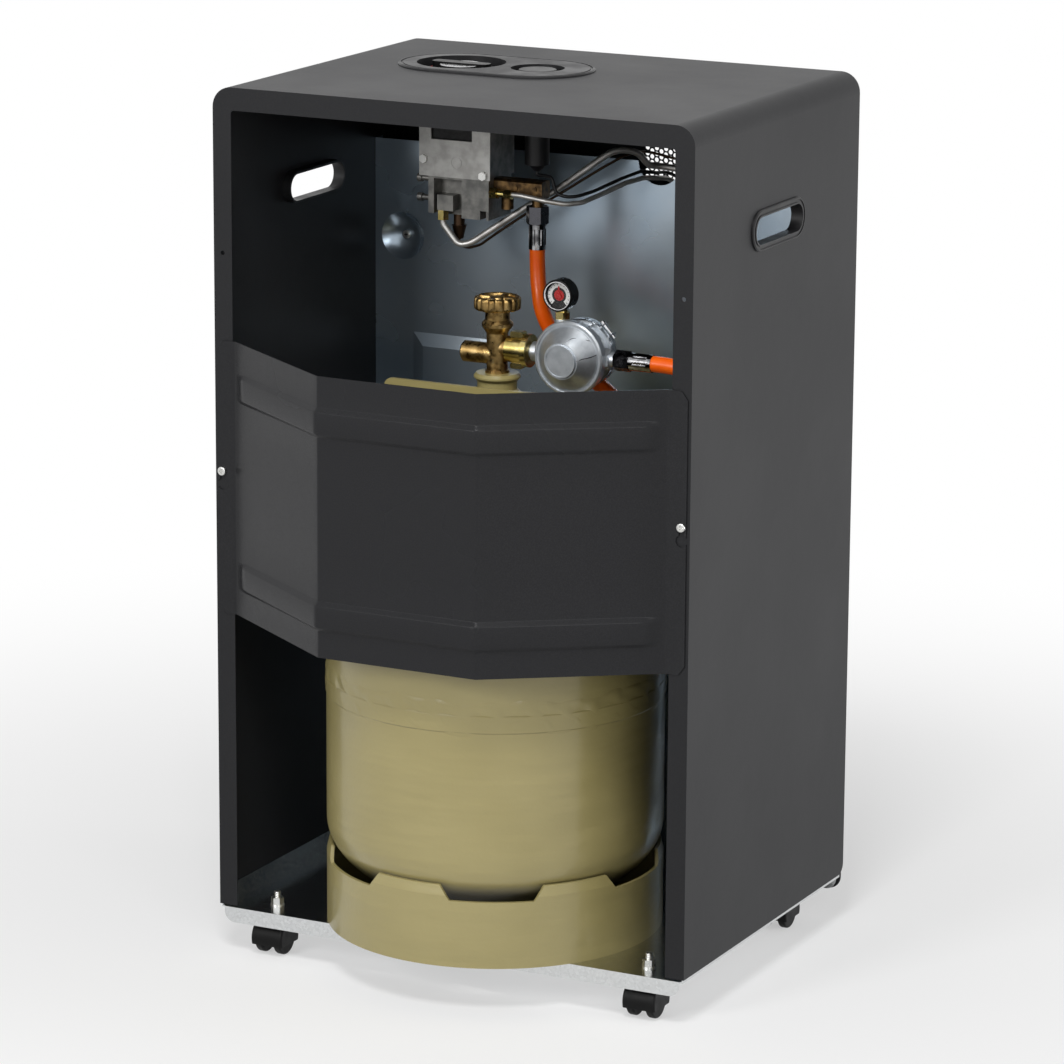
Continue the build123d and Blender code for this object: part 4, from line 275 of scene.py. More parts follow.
def paint_underside_shade(material, left, down=-0.75, side=-0.42):
    """Painted shade: faces pointing down keep only this share of their colour, coat and mirror."""
    tree = material.node_tree
    shader = tree.nodes["Principled BSDF"]
    facing = add_node(tree, "ShaderNodeTexCoord")
    lean = add_node(tree, "ShaderNodeSeparateXYZ", [(0, facing.outputs["Normal"])])
    keep = add_node(tree, "ShaderNodeMapRange", [("Value", lean.outputs["Z"])],
                    interpolation_type="SMOOTHSTEP", From_Min=down, From_Max=side, To_Min=left, To_Max=1.0)
    # painted shade: the base colour is scaled down on faces that point down
    colour = add_node(tree, "ShaderNodeVectorMath", [
        (0, shader.inputs["Base Color"].links[0].from_socket), ("Scale", keep.outputs[0]),
    ], operation="SCALE")
    feed(material, "Base Color", colour.outputs[0])
    for name in ("Specular IOR Level", "Coat Weight"):
        share = add_node(tree, "ShaderNodeMath", [(0, keep.outputs[0])], operation="MULTIPLY")
        share.inputs[1].default_value = shader.inputs[name].default_value
        feed(material, name, share.outputs[0])


def grain(material, scale, depth, stretch=(1, 1, 1), detail=3.0):
    """Relief of this depth in metres over a noise; several calls add up."""
    tree = material.node_tree
    bump = add_node(tree, "ShaderNodeBump", [("Height", noise(material, scale, detail, stretch))],
                    Strength=1.0, Distance=depth)
    socket = tree.nodes["Principled BSDF"].inputs["Normal"]
    if socket.is_linked:
        tree.links.new(socket.links[0].from_socket, bump.inputs["Normal"])
    tree.links.new(bump.outputs[0], socket)


print("helpers for finishes ready")

# %% [markdown]
# ## Powder coat
# The cabinet and the bottle guard are coated in anthracite powder. Powder melts into a satin
# skin with a fine, even texture of under a millimetre, so the coat is a dark base with a fine
# grain, and a second, wider ripple as on every sprayed sheet. The guard is a little glossier.

# %% Powder coat
powder_coat = finish("powder_coat", (0.0140, 0.0142, 0.0156), 0.44, Specular_IOR_Level=0.17)
mottle(powder_coat, 900, [(0.35, (0.0125, 0.0127, 0.0140)), (0.7, (0.0158, 0.0160, 0.0174))], detail=2.0)
smudge(powder_coat, 7, 0.41, 0.46)
grain(powder_coat, 1400, 0.00005, detail=2.0)
grain(powder_coat, 60, 0.00012)
guard_coat = finish("guard_coat", (0.0200, 0.0202, 0.0216), 0.26, Specular_IOR_Level=0.10)
mottle(guard_coat, 900, [(0.35, (0.0178, 0.0180, 0.0194)), (0.7, (0.0222, 0.0224, 0.0240))], detail=2.0)
smudge(guard_coat, 7, 0.24, 0.28)
grain(guard_coat, 1400, 0.00005, detail=2.0)
grain(guard_coat, 60, 0.00015)
print("coats:", powder_coat.name, guard_coat.name)

# %% [markdown]
# ## Galvanised and bare sheet steel
# Zinc freezes on steel in flat crystals, the spangle, which a Voronoi pattern draws well. The
# partition is smoother sheet with fine rolling lines, which catch the light as long soft streaks.

# %% Galvanised steel
def spangle(material, scale, low, high):
    """Flat crystals: each Voronoi cell gets its own brightness."""
    tree = material.node_tree
    place = add_node(tree, "ShaderNodeTexCoord")
    cells = add_node(tree, "ShaderNodeTexVoronoi", [("Vector", place.outputs["Object"])], Scale=scale)
    return add_node(tree, "ShaderNodeMapRange", [("Value", cells.outputs["Color"])],
                    To_Min=low, To_Max=high).outputs[0]


galvanised = finish("galvanised", (0.62, 0.63, 0.64), 0.42, 1.0)
ZINC_TINTS = (("Red", 0.98), ("Green", 1.0), ("Blue", 1.01))
crystals = add_node(galvanised.node_tree, "ShaderNodeCombineColor", [
    (channel, spangle(galvanised, 480, 0.62 * tint, 0.74 * tint)) for channel, tint in ZINC_TINTS
])
feed(galvanised, "Base Color", crystals.outputs[0])
feed(galvanised, "Roughness", spangle(galvanised, 300, 0.14, 0.26))
partition_steel = finish("partition_steel", (0.42, 0.52, 0.62), 0.24, 0.72)
mottle(partition_steel, 6, [(0.3, (0.38, 0.50, 0.62)), (0.7, (0.52, 0.59, 0.65))])
smudge(partition_steel, 9, 0.20, 0.29)
grain(partition_steel, 500, 0.00002, stretch=(0.04, 1, 1))
grain(partition_steel, 5, 0.0010, detail=0.0)
zinc_plate = finish("zinc_plate", (0.62, 0.62, 0.60), 0.3, 1.0)
smudge(zinc_plate, 120, 0.22, 0.4)
tube_steel = finish("tube_steel", (0.50, 0.49, 0.47), 0.42, 0.7)
mottle(tube_steel, 70, [(0.3, (0.42, 0.41, 0.39)), (0.7, (0.56, 0.55, 0.53))])
hot_steel = finish("hot_steel", (0.42, 0.41, 0.40), 0.38, 1.0)
mottle(hot_steel, 14, [(0.35, (0.36, 0.33, 0.30)), (0.65, (0.50, 0.49, 0.48))])
grain(hot_steel, 700, 0.00002, stretch=(0.05, 1, 1))
print("sheet steels ready")

# %% [markdown]
# ## Bottle paint
# The gas bottle wears a thick coat of olive-beige lacquer. Thick lacquer pulls into a wavy skin,
# the orange peel, and handling leaves duller patches on it. The underside gets painted shade:
# it is darker and less glossy.

# %% Bottle paint
bottle_paint = finish("bottle_paint", (0.34, 0.29, 0.13), 0.34, Coat_Weight=0.3, Coat_Roughness=0.12)
mottle(bottle_paint, 9, [(0.3, (0.290, 0.245, 0.098)), (0.7, (0.318, 0.270, 0.114))], detail=2.0)
smudge(bottle_paint, 16, 0.30, 0.38)
# painted shade on the bottle's underside: darker, with less coat and mirror
paint_underside_shade(bottle_paint, 0.12)
grain(bottle_paint, 260, 0.00012, detail=1.0)
grain(bottle_paint, 30, 0.0006, detail=1.0)
grain(bottle_paint, 9, 0.0022, stretch=(1, 1, 5), detail=2.0)
print("paint:", bottle_paint.name)

# %% [markdown]
# ## Brass, castings and plating
# The bottle valve is brass as it left the mould: rough, brown in the hollows. Machined nuts are
# smoother and yellower. The regulator and the gas valve are grey die castings with a fine tooth.

# %% Brass and castings
valve_brass = finish("valve_brass", (0.40, 0.26, 0.10), 0.35, 1.0)
mottle(valve_brass, 150, [
    (0.3, (0.13, 0.075, 0.024)), (0.55, (0.34, 0.225, 0.085)), (0.75, (0.58, 0.42, 0.19)),
])
smudge(valve_brass, 200, 0.24, 0.5)
grain(valve_brass, 900, 0.00012)
bright_brass = finish("bright_brass", (0.62, 0.50, 0.20), 0.24, 1.0)
mottle(bright_brass, 90, [(0.3, (0.42, 0.33, 0.10)), (0.7, (0.70, 0.58, 0.26))])
dark_brass = finish("dark_brass", (0.10, 0.06, 0.03), 0.42, 1.0)
mottle(dark_brass, 160, [(0.3, (0.04, 0.025, 0.014)), (0.75, (0.20, 0.12, 0.05))])
grain(dark_brass, 1000, 0.0001)
regulator_zinc = finish("regulator_zinc", (0.50, 0.53, 0.56), 0.38, 0.85)
mottle(regulator_zinc, 110, [(0.3, (0.43, 0.46, 0.49)), (0.7, (0.56, 0.59, 0.62))])
grain(regulator_zinc, 1300, 0.00006)
valve_casting = finish("valve_casting", (0.38, 0.375, 0.36), 0.42, 0.85)
mottle(valve_casting, 90, [(0.3, (0.31, 0.305, 0.29)), (0.7, (0.43, 0.425, 0.41))])
grain(valve_casting, 1200, 0.00006)
bright_chrome = finish("bright_chrome", (0.72, 0.72, 0.73), 0.12, 1.0)
smudge(bright_chrome, 150, 0.08, 0.2)
dark_chrome = finish("dark_chrome", (0.09, 0.09, 0.10), 0.22, 1.0)
smudge(dark_chrome, 180, 0.16, 0.32)
ferrule_chrome = finish("ferrule_chrome", (0.30, 0.30, 0.31), 0.14, 1.0)
mottle(ferrule_chrome, 120, [(0.35, (0.10, 0.10, 0.105)), (0.65, (0.40, 0.40, 0.41))])
# painted shade: a darker copy of the casting for the gas valve's body, under the cabinet's top
valve_casting_painted_shade = finish("valve_casting_painted_shade", (0.20, 0.20, 0.19), 0.45, 0.7)
mottle(valve_casting_painted_shade, 90, [(0.3, (0.12, 0.12, 0.115)), (0.7, (0.24, 0.235, 0.22))])
grain(valve_casting_painted_shade, 1200, 0.00006)
lead_copper = finish("lead_copper", (0.06, 0.035, 0.02), 0.4, 0.9)
smudge(lead_copper, 200, 0.34, 0.5)
print("metals ready")

# %% [markdown]
# ## Rubber, plastics, ceramic and glass
# The hose is smooth orange rubber with a soft sheen. The grips, the bezel and the castors are
# fine-grained black mouldings; the knob and the button are smoother. The burner's plaques are
# chalky ceramic, and the gauge has a thin clear lens.

# %% Rubber, plastics, ceramic and glass
hose_rubber = finish("hose_rubber", (1.0, 0.13, 0.004), 0.36, Specular_IOR_Level=0.35)
mottle(hose_rubber, 90, [(0.35, (0.97, 0.120, 0.003)), (0.65, (1.0, 0.145, 0.005))])
smudge(hose_rubber, 60, 0.28, 0.40)
grain(hose_rubber, 500, 0.00003)
black_plastic = finish("black_plastic", (0.012, 0.012, 0.013), 0.45, Specular_IOR_Level=0.3)
smudge(black_plastic, 40, 0.36, 0.5)
grain(black_plastic, 1500, 0.00004)
gloss_black = finish("gloss_black", (0.004, 0.004, 0.004), 0.3, Specular_IOR_Level=0.12)
smudge(gloss_black, 50, 0.26, 0.36)
castor_plastic = finish("castor_plastic", (0.004, 0.004, 0.004), 0.4, Specular_IOR_Level=0.14)
smudge(castor_plastic, 90, 0.34, 0.48)
grain(castor_plastic, 900, 0.00004)
wheel_plastic = finish("wheel_plastic", (0.006, 0.006, 0.006), 0.5, Specular_IOR_Level=0.15)
smudge(wheel_plastic, 120, 0.4, 0.62)
grain(wheel_plastic, 700, 0.00008)
gauge_card = finish("gauge_card", (0.92, 0.92, 0.90), 0.5)
smudge(gauge_card, 300, 0.45, 0.6)
pointer_red = finish("pointer_red", (0.52, 0.02, 0.02), 0.3)
smudge(pointer_red, 300, 0.25, 0.4)
gauge_glass = finish("gauge_glass", (0.01, 0.01, 0.01), 0.06, Alpha=0.10)
smudge(gauge_glass, 120, 0.03, 0.1)
ceramic = finish("ceramic", (0.74, 0.66, 0.55), 0.8)
mottle(ceramic, 30, [(0.3, (0.66, 0.57, 0.46)), (0.7, (0.80, 0.73, 0.63))])
grain(ceramic, 900, 0.0001)
porcelain = finish("porcelain", (0.82, 0.81, 0.77), 0.15)
mottle(porcelain, 60, [(0.3, (0.78, 0.76, 0.71)), (0.7, (0.85, 0.84, 0.80))])
print(len(bpy.data.materials), "materials so far")

# %% [markdown]
# ## Dress the CAD parts
# A CAD part whose shape is right keeps its mesh and only gets a finish in its material slot. The
# record already says which finish each part has, so one loop dresses them all. A second, short
# loop dresses the few parts that look different from the rest of their material.

# %% Dress the CAD parts
FINISHES = {
    "powder_coat": powder_coat, "inner_powder_coat": powder_coat, "galvanised": galvanised,
    "partition_steel": partition_steel, "zinc_plate": zinc_plate, "tube_steel": tube_steel,
    "hot_steel": hot_steel, "bottle_paint": bottle_paint, "valve_brass": valve_brass,
    "bright_brass": bright_brass, "dark_brass": dark_brass, "regulator_zinc": regulator_zinc,
    "valve_casting": valve_casting, "bright_chrome": bright_chrome, "dark_chrome": dark_chrome,
    "hose_rubber": hose_rubber, "black_plastic": black_plastic, "gloss_black": gloss_black,
    "castor_plastic": castor_plastic, "wheel_plastic": wheel_plastic, "gauge_card": gauge_card,
    "pointer_red": pointer_red, "gauge_glass": gauge_glass, "ceramic": ceramic,
    "porcelain": porcelain,
}
# the gas valve's body gets painted shade; the other three parts keep their own colours
SPECIAL_FINISHES = {
    "hose_ferrules": ferrule_chrome, "gas_valve_body": valve_casting_painted_shade, "thermocouple": lead_copper,
    "inlet_elbow": dark_brass,
}


def dress(node, material):
    """Gives every slot of a CAD part's mesh this finish."""
    part = frame["nodes"][node]
    if not part.material_slots:
        part.data.materials.append(None)
    for part_slot in part.material_slots:
        part_slot.material = material


subparts = frame["record"]["subparts"]
for subpart in subparts:
    dress(subpart["node"], FINISHES[subpart["material_slot"]])
for node, material in SPECIAL_FINISHES.items():
    dress(node, material)
hose.data.materials.append(hose_rubber)
print("dressed", len(subparts), "parts")

# %% [markdown]
# ## Tools for pieces
# Some pieces are drawn here as meshes. The helpers make a clean mesh with its faces turned
# outwards, give it its finish, and let it ride on its body of the frame.

# %% Helpers for pieces
def closed_mesh(name, verts, faces, merge=1e-6):
    """A mesh whose doubled points are merged and whose faces look outwards."""
    mesh = bmesh.new()
    points = [mesh.verts.new(v) for v in verts]
    for face in faces:
        mesh.faces.new([points[i] for i in face])
    bmesh.ops.remove_doubles(mesh, verts=mesh.verts, dist=merge)
    bmesh.ops.recalc_face_normals(mesh, faces=mesh.faces)
    data = bpy.data.meshes.new(name)
    mesh.to_mesh(data)
    mesh.free()
    return data


def place_mesh(name, data):
    """An object for a mesh, in the scene."""
    piece = bpy.data.objects.new(name, data)
    bpy.context.scene.collection.objects.link(piece)
    return piece


def apply_modifiers(piece):
    """Keeps the piece as its modifiers make it, and drops them."""
    graph = bpy.context.evaluated_depsgraph_get()
    made = bpy.data.meshes.new_from_object(piece.evaluated_get(graph), depsgraph=graph)
    piece.modifiers.clear()
    piece.data = made


def round_shade(piece, degrees):
    """Smooth shading that stays crisp over edges sharper than the angle."""
    for face in piece.data.polygons:
        face.use_smooth = True
    piece.data.set_sharp_from_angle(angle=math.radians(degrees))


def settle(piece, material, body, degrees):
    """Gives a piece its finish and shading, and lets it ride on its body."""
    piece.data.materials.clear()
    piece.data.materials.append(material)
    round_shade(piece, degrees)
    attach(piece, body)


def add_piece(name, verts, faces, material, body, slot_name, degrees=35):
    """A mesh piece in its place, with its finish, riding on its body."""
    settle(place_mesh(name, closed_mesh(name, verts, faces)), material, body, degrees)


def middle(node):
    """Centre of a frame node's box."""
    low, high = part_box(node)
    return (low + high) / 2


print("tools ready")

# %% [markdown]
# ## The bottle guard
# The guard is one sheet, folded along four lines and hung on two screws. Two beads stiffen it. The
# fold lines and the beads are soft, because sheet steel bends round a radius, and this softness is
# what the light shows. So the sheet is drawn as a grid: columns follow the folded plan, rows
# follow the height, and a smooth profile lifts the beads. Booleans then punch the keyholes.

# %% Measure the guard
guard_low, guard_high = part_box("rear_guard")
GUARD_SKIN = 0.001
CORNER_R = 0.008
FOLD_RADII = [0.004, 0.005, 0.005, 0.004]
COLUMN_GAP = 0.006
BEAD, BEAD_SLOPE = 0.0034, 0.0050
BEAD_END_GAP, BEAD_END_SLOPE = 0.006, 0.009
SCREW_HEAD = 0.0028
bulge_y = guard_high.y - BEAD
flange_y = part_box("guard_screws")[1].y - SCREW_HEAD
EDGE_X, BEND_X, FOLD_LEFT, FOLD_RIGHT = guard_high.x, 0.209, 0.075, -0.076
# edges of the two beads: up from the guard's foot, and down from its top
LOW_BEAD, TOP_BEAD = (0.0231, 0.0504), (0.0537, 0.0264)
BEAD_BANDS = [(guard_low.z + LOW_BEAD[0], guard_low.z + LOW_BEAD[1]),
              (guard_high.z - TOP_BEAD[0], guard_high.z - TOP_BEAD[1])]
plan = [Vector((EDGE_X, flange_y)), Vector((BEND_X, flange_y)), Vector((FOLD_LEFT, bulge_y)),
        Vector((FOLD_RIGHT, bulge_y)), Vector((-BEND_X, flange_y)), Vector((-EDGE_X, flange_y))]
print("guard from", round(guard_low.z, 4), "to", round(guard_high.z, 4), "bulge", round(bulge_y, 4))


# %% Draw the guard's plan with rounded folds
def rounded_plan(points, radii, steps=6):
    """Columns of the sheet as (place, outward normal, distance along the sheet)."""
    columns = []
    for i, point in enumerate(points):
        if i in (0, len(points) - 1):
            columns.append(point)
            continue
        back, ahead = (points[i - 1] - point).normalized(), (points[i + 1] - point).normalized()
        half = math.acos(max(-1.0, min(1.0, back.dot(ahead)))) / 2
        reach = radii[i - 1] / math.tan(half)
        centre = point + (back + ahead).normalized() * (radii[i - 1] / math.sin(half))
        start, end = point + back * reach - centre, point + ahead * reach - centre
        for k in range(steps + 1):
            arm = (start * (1 - k / steps) + end * (k / steps)).normalized() * radii[i - 1]
            columns.append(centre + arm)
    dense = [columns[0]]
    for point in columns[1:]:
        gap = (point - dense[-1]).length
        extra = int(gap / COLUMN_GAP)
        first = dense[-1]
        dense += [first.lerp(point, k / (extra + 1)) for k in range(1, extra + 1)]
        dense.append(point)
    result, run = [], 0.0
    for i, point in enumerate(dense):
        before, after = dense[max(i - 1, 0)], dense[min(i + 1, len(dense) - 1)]
        along = (after - before).normalized()
        run += (point - before).length
        result.append((point, Vector((-along.y, along.x)), run))
    return result


columns = rounded_plan(plan, FOLD_RADII)
if columns[len(columns) // 2][1].y < 0:
    columns = [(p, -n, r) for p, n, r in columns]
print(len(columns), "columns over", round(columns[-1][2], 3), "m of sheet")


# %% Fold the guard
def straight_ramp(value, soft=0.2):
    """Rises from 0 to 1 on a straight flank with short soft ends."""
    value = min(max(value, 0.0), 1.0)
    if value > 0.5:
        return 1 - straight_ramp(1 - value, soft)
    if value < soft:
        return value * value / (2 * soft * (1 - soft))
    return (value - soft / 2) / (1 - soft)


def bead_height(z, x):
    """Height of the pressed beads, fading out before the flanges."""
    fade = straight_ramp((BEND_X - BEAD_END_GAP - abs(x)) / BEAD_END_SLOPE)
    lift = 0.0
    for low, high in BEAD_BANDS:
        rise, fall = straight_ramp((z - low) / BEAD_SLOPE), straight_ramp((high - z) / BEAD_SLOPE)
        lift = max(lift, rise * fall)
    return BEAD * lift * fade


SLOPE_STEPS = 8
EDGE_ROWS, MIDDLE_GAP = (0.0, 0.004, 0.010), 0.02


def guard_rows():
    """Heights of the sheet's rows: close together on the beads' slopes, wide elsewhere."""
    rows = [guard_low.z + gap for gap in EDGE_ROWS] + [guard_high.z - gap for gap in EDGE_ROWS]
    rows += [guard_low.z + MIDDLE_GAP * k for k in range(4, 9)]
    for low, high in BEAD_BANDS:
        for k in range(SLOPE_STEPS + 1):
            rows += [low + BEAD_SLOPE * k / SLOPE_STEPS, high - BEAD_SLOPE * k / SLOPE_STEPS]
    return sorted(set(round(z, 6) for z in rows))


def folded_sheet(name):
    """The guard as one thin surface: every column of the plan, at every row."""
    rows = guard_rows()
    verts, faces = [], []
    for place, normal, run in columns:
        inset = CORNER_R - min(run, columns[-1][2] - run, CORNER_R)
        cut = CORNER_R - math.sqrt(max(0.0, CORNER_R ** 2 - inset ** 2))
        for z in rows:
            height = min(max(z, guard_low.z + cut), guard_high.z - cut)
            spot = place + normal * (bead_height(z, place.x) - GUARD_SKIN / 2)
            verts.append((spot.x, spot.y, height))
    for column in range(len(columns) - 1):
        for row in range(len(rows) - 1):
            here = column * len(rows) + row
            there = here + len(rows)
            faces.append((here, here + 1, there + 1, there))
    return place_mesh(name, closed_mesh(name, verts, faces, merge=5e-5))


guard = folded_sheet("bottle_guard")
wall = guard.modifiers.new("sheet", "SOLIDIFY")
wall.thickness = GUARD_SKIN
wall.offset = 0.0
apply_modifiers(guard)
print("guard sheet", len(guard.data.polygons), "faces")


# %% Punch the keyholes
SCREW_X, SCREW_Z = 0.2225, 0.445
SLOT_R, HOLE_R, HOLE_DROP = 0.0023, 0.0052, 0.012
SLOT_STEPS, HOLE_STEPS, CUT_REACH = 8, 24, 0.01


def keyhole(x, z):
    """Cutter: a round hole with a narrow slot above it."""
    outline = []
    for k in range(SLOT_STEPS + 1):
        a = math.pi * k / SLOT_STEPS
        outline.append((x + SLOT_R * math.cos(a), z + SLOT_R * math.sin(a)))
    start = math.asin(SLOT_R / HOLE_R)
    for k in range(HOLE_STEPS + 1):
        a = math.pi / 2 + start + (2 * math.pi - 2 * start) * k / HOLE_STEPS
        outline.append((x + HOLE_R * math.cos(a), z - HOLE_DROP + HOLE_R * math.sin(a)))
    count = len(outline)
    verts = [(px, y, pz) for y in (flange_y - CUT_REACH, flange_y + CUT_REACH) for px, pz in outline]
    faces = [tuple(range(count)), tuple(range(2 * count - 1, count - 1, -1))]
    faces += [(k, k + count, (k + 1) % count + count, (k + 1) % count) for k in range(count)]
    return place_mesh("keyhole", closed_mesh("keyhole", verts, faces))


for side in (-1, 1):
    cutter = keyhole(side * SCREW_X, SCREW_Z)
    punch = guard.modifiers.new("keyhole", "BOOLEAN")
    punch.object = cutter
    punch.operation = "DIFFERENCE"
    punch.solver = "EXACT"
    apply_modifiers(guard)
    bpy.data.objects.remove(cutter)
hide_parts("rear_guard")
settle(guard, guard_coat, "rear_guard", 40)
print("guard with keyholes", len(guard.data.polygons), "faces")

# %% [markdown]
# ## The weld round the bottle
# The bottle is two drawn halves joined by one weld near half height. The weld is laid in small
# overlapping pools, so its edges wander and its height ripples, and the paint follows it. Waves
# whose counts share no factor draw the pools, so they don't repeat as a plain pattern would.

# %% Lay the weld
WELD_AT = middle("bottle_shell")
WELD_R, WELD_Z, WELD_HALF, WELD_RISE = 0.150, 0.2675, 0.0150, 0.0024
WELD_SINK = 0.0003
AROUND, ACROSS = 300, 12


def weld_surface():
    """A rippled band round the shell; its two edges lie just inside the shell."""
    verts, faces = [], []
    for k in range(AROUND):
        a = 2 * math.pi * k / AROUND
        wander = 0.0016 * math.sin(9 * a + 0.6) + 0.0010 * math.sin(23 * a)
        pool = 0.70 + 0.18 * math.sin(41 * a) + 0.12 * math.sin(67 * a + 1.0)
        for row in range(ACROSS + 1):
            share = 2 * row / ACROSS - 1
            height = (1 - share ** 4) * (0.35 + 0.65 * share * share) * pool
            lip = 0.25 * math.sin(31 * a + 5 * share) * (1 - share ** 2)
            radius = WELD_R - WELD_SINK + WELD_RISE * (height + lip)
            verts.append((WELD_AT.x + radius * math.cos(a), WELD_AT.y + radius * math.sin(a),
                          WELD_Z + wander + share * WELD_HALF))
    width = ACROSS + 1
    for k in range(AROUND):
        here, there = k * width, (k + 1) % AROUND * width
        for row in range(ACROSS):
            faces.append((here + row, there + row, there + row + 1, here + row + 1))
    return verts, faces


add_piece("girth_weld", *weld_surface(), bottle_paint, "heater_cabinet", "bottle_paint", 60)
print("weld at", round(WELD_Z, 3), "m")

# %% [markdown]
# ## The cast handwheel
# Handwheels like this are cast with round lobes, so that a wet hand can turn them. A turned
# profile would be plain, so each ring of points moves in and out sixteen times round the wheel,
# and the floor of the hollow top rises to a spoke four times.

# %% Cast the handwheel
WHEEL_AT = middle("bottle_handwheel")
WHEEL_H = 0.012
WHEEL_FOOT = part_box("bottle_handwheel")[1].z - WHEEL_H
LOBES, LOBE_DEPTH, SPOKE_RISE = 16, 1.6, 2.4
SPOKE_EDGE, SPOKE_SOFT = 0.97, 0.06
# radius, height above the wheel's foot, share of the lobes, share of the spokes, in mm
WHEEL_PROFILE = [
    (0.0, -16.0, 0, 0), (3.4, -16.0, 0, 0), (4.0, -15.4, 0, 0), (4.0, 0.2, 0, 0), (6.0, 0.2, 0, 0),
    (6.6, 3.8, 0, 0), (14.8, 3.8, 0, 0), (15.6, 0.8, 0, 0), (17.2, 0.0, 0.2, 0),
    (19.2, 0.5, 0.8, 0), (20.4, 1.6, 1, 0), (20.6, 3.0, 1, 0), (20.6, 6.0, 1, 0),
    (20.6, 9.0, 1, 0), (20.4, 10.4, 1, 0), (19.3, 11.5, 0.8, 0), (18.0, 12.0, 0.3, 0),
    (17.0, 11.7, 0, 0), (16.4, 10.9, 0, 0), (16.1, 9.4, 0, 1), (12.0, 9.0, 0, 1),
    (7.8, 9.0, 0, 1), (6.8, 9.6, 0, 0.6), (6.4, 10.9, 0, 0), (5.7, 11.5, 0, 0), (0.0, 11.5, 0, 0),
]


def smooth_step(value):
    """Rises from 0 to 1 with a soft start and end."""
    value = min(max(value, 0.0), 1.0)
    return value * value * (3 - 2 * value)


def handwheel_ring(radius, height, lobed, spoked, steps):
    """One ring of points round the wheel, pressed in by the lobes and raised by the spokes."""
    ring = []
    for k in range(steps):
        angle = 2 * math.pi * k / steps
        groove = (0.5 + 0.5 * math.cos(LOBES * angle)) ** 3
        spoke = smooth_step(1.0 - (SPOKE_EDGE - abs(math.cos(2 * angle))) / SPOKE_SOFT)
        out = (radius - LOBE_DEPTH * groove * lobed) / 1000
        up = (height + SPOKE_RISE * spoke * spoked) / 1000
        ring.append((WHEEL_AT.x + out * math.cos(angle), WHEEL_AT.y + out * math.sin(angle),
                     WHEEL_FOOT + up))
    return ring


WHEEL_STEPS = LOBES * 12
verts, faces = [], []
for row in WHEEL_PROFILE:
    verts += handwheel_ring(*row, WHEEL_STEPS)
for tier in range(len(WHEEL_PROFILE) - 1):
    for k in range(WHEEL_STEPS):
        a, b = tier * WHEEL_STEPS + k, tier * WHEEL_STEPS + (k + 1) % WHEEL_STEPS
        faces.append((a, b, b + WHEEL_STEPS, a + WHEEL_STEPS))
cast_handwheel = place_mesh("cast_handwheel", closed_mesh("cast_handwheel", verts, faces, merge=1e-5))
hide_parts("bottle_handwheel")
settle(cast_handwheel, valve_brass, "bottle_handwheel", 50)
print("handwheel", len(cast_handwheel.data.polygons), "faces")

# %% [markdown]
# ## Trees for what repeats
# Threads, flame ports, scale marks and screw recesses repeat one small shape. Geometry Nodes
# place such copies: points come first, an instance goes on each, and the copies are then made
# real, because an export drops instances.

# %% A helper that grows a piece from a tree
def new_tree(name, inputs):
    """A Geometry Nodes tree with named inputs of (label, socket kind)."""
    tree = bpy.data.node_groups.new(name, "GeometryNodeTree")
    tree.interface.new_socket(name="Geometry", in_out="INPUT", socket_type="NodeSocketGeometry")
    for label, kind in inputs:
        tree.interface.new_socket(name=label, in_out="INPUT", socket_type="NodeSocket" + kind)
    tree.interface.new_socket(name="Geometry", in_out="OUTPUT", socket_type="NodeSocketGeometry")
    return tree, tree.nodes.new("NodeGroupInput"), tree.nodes.new("NodeGroupOutput")


def end_tree(tree, geometry, outlet, material):
    """Ends a tree: the copies are made real and get their finish."""
    real = add_node(tree, "GeometryNodeRealizeInstances", [("Geometry", geometry)])
    dressed = add_node(tree, "GeometryNodeSetMaterial", [("Geometry", real.outputs[0])], Material=material)
    tree.links.new(dressed.outputs[0], outlet.inputs["Geometry"])


def grow(name, tree, values, body, points=()):
    """Runs a tree on loose points and keeps the result as a plain mesh piece."""
    data = bpy.data.meshes.new(name)
    data.from_pydata([tuple(p) for p in points], [], [])
    piece = place_mesh(name, data)
    modifier = piece.modifiers.new(name, "NODES")
    modifier.node_group = tree
    for item in tree.interface.items_tree:
        if item.in_out == "INPUT" and item.name in values:
            modifier[item.identifier] = values[item.name]
    apply_modifiers(piece)
    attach(piece, body)
    print(name, len(piece.data.polygons), "faces")


# %% [markdown]
# ## Flame ports in the ceramic
# A ceramic plaque burns gas in hundreds of fine ports. They are too fine to drill, so each is a
# small dark disc that lies on the face. A grid gives the places, and a line repeats the grid for
# the three plaques.

# %% Flame ports
PLAQUES, PLAQUE_PITCH = 3, 0.118
PORTS_WIDE, PORTS_HIGH, FIELD_W, FIELD_H = 32, 50, 0.112375, 0.1764
PORT_R, PORT_SIDES, PORT_LIFT = 0.0009, 6, 0.00006
# painted shade: each port's hole is a dark disc lying on the plaque's face
port_shadow = finish("port_shadow", (0.05, 0.035, 0.025), 0.9)
smudge(port_shadow, 300, 0.8, 0.95)
tree, source, outlet = new_tree("flame_ports", [
    ("Columns", "Int"), ("Rows", "Int"), ("Width", "Float"), ("Height", "Float"),
    ("Port radius", "Float"), ("Plaque pitch", "Vector"), ("Place", "Vector"),
])
sheet_of_ports = add_node(tree, "GeometryNodeMeshGrid", [
    ("Vertices X", source.outputs["Columns"]), ("Vertices Y", source.outputs["Rows"]),
    ("Size X", source.outputs["Width"]), ("Size Y", source.outputs["Height"]),
])
port = add_node(tree, "GeometryNodeMeshCircle", [("Radius", source.outputs["Port radius"])],
                fill_type="NGON", Vertices=PORT_SIDES)
ports = add_node(tree, "GeometryNodeInstanceOnPoints",
                 [("Points", sheet_of_ports.outputs[0]), ("Instance", port.outputs[0])])
upright = add_node(tree, "GeometryNodeTransform", [("Geometry", ports.outputs[0])],
                   Rotation=(math.radians(90), 0, 0))
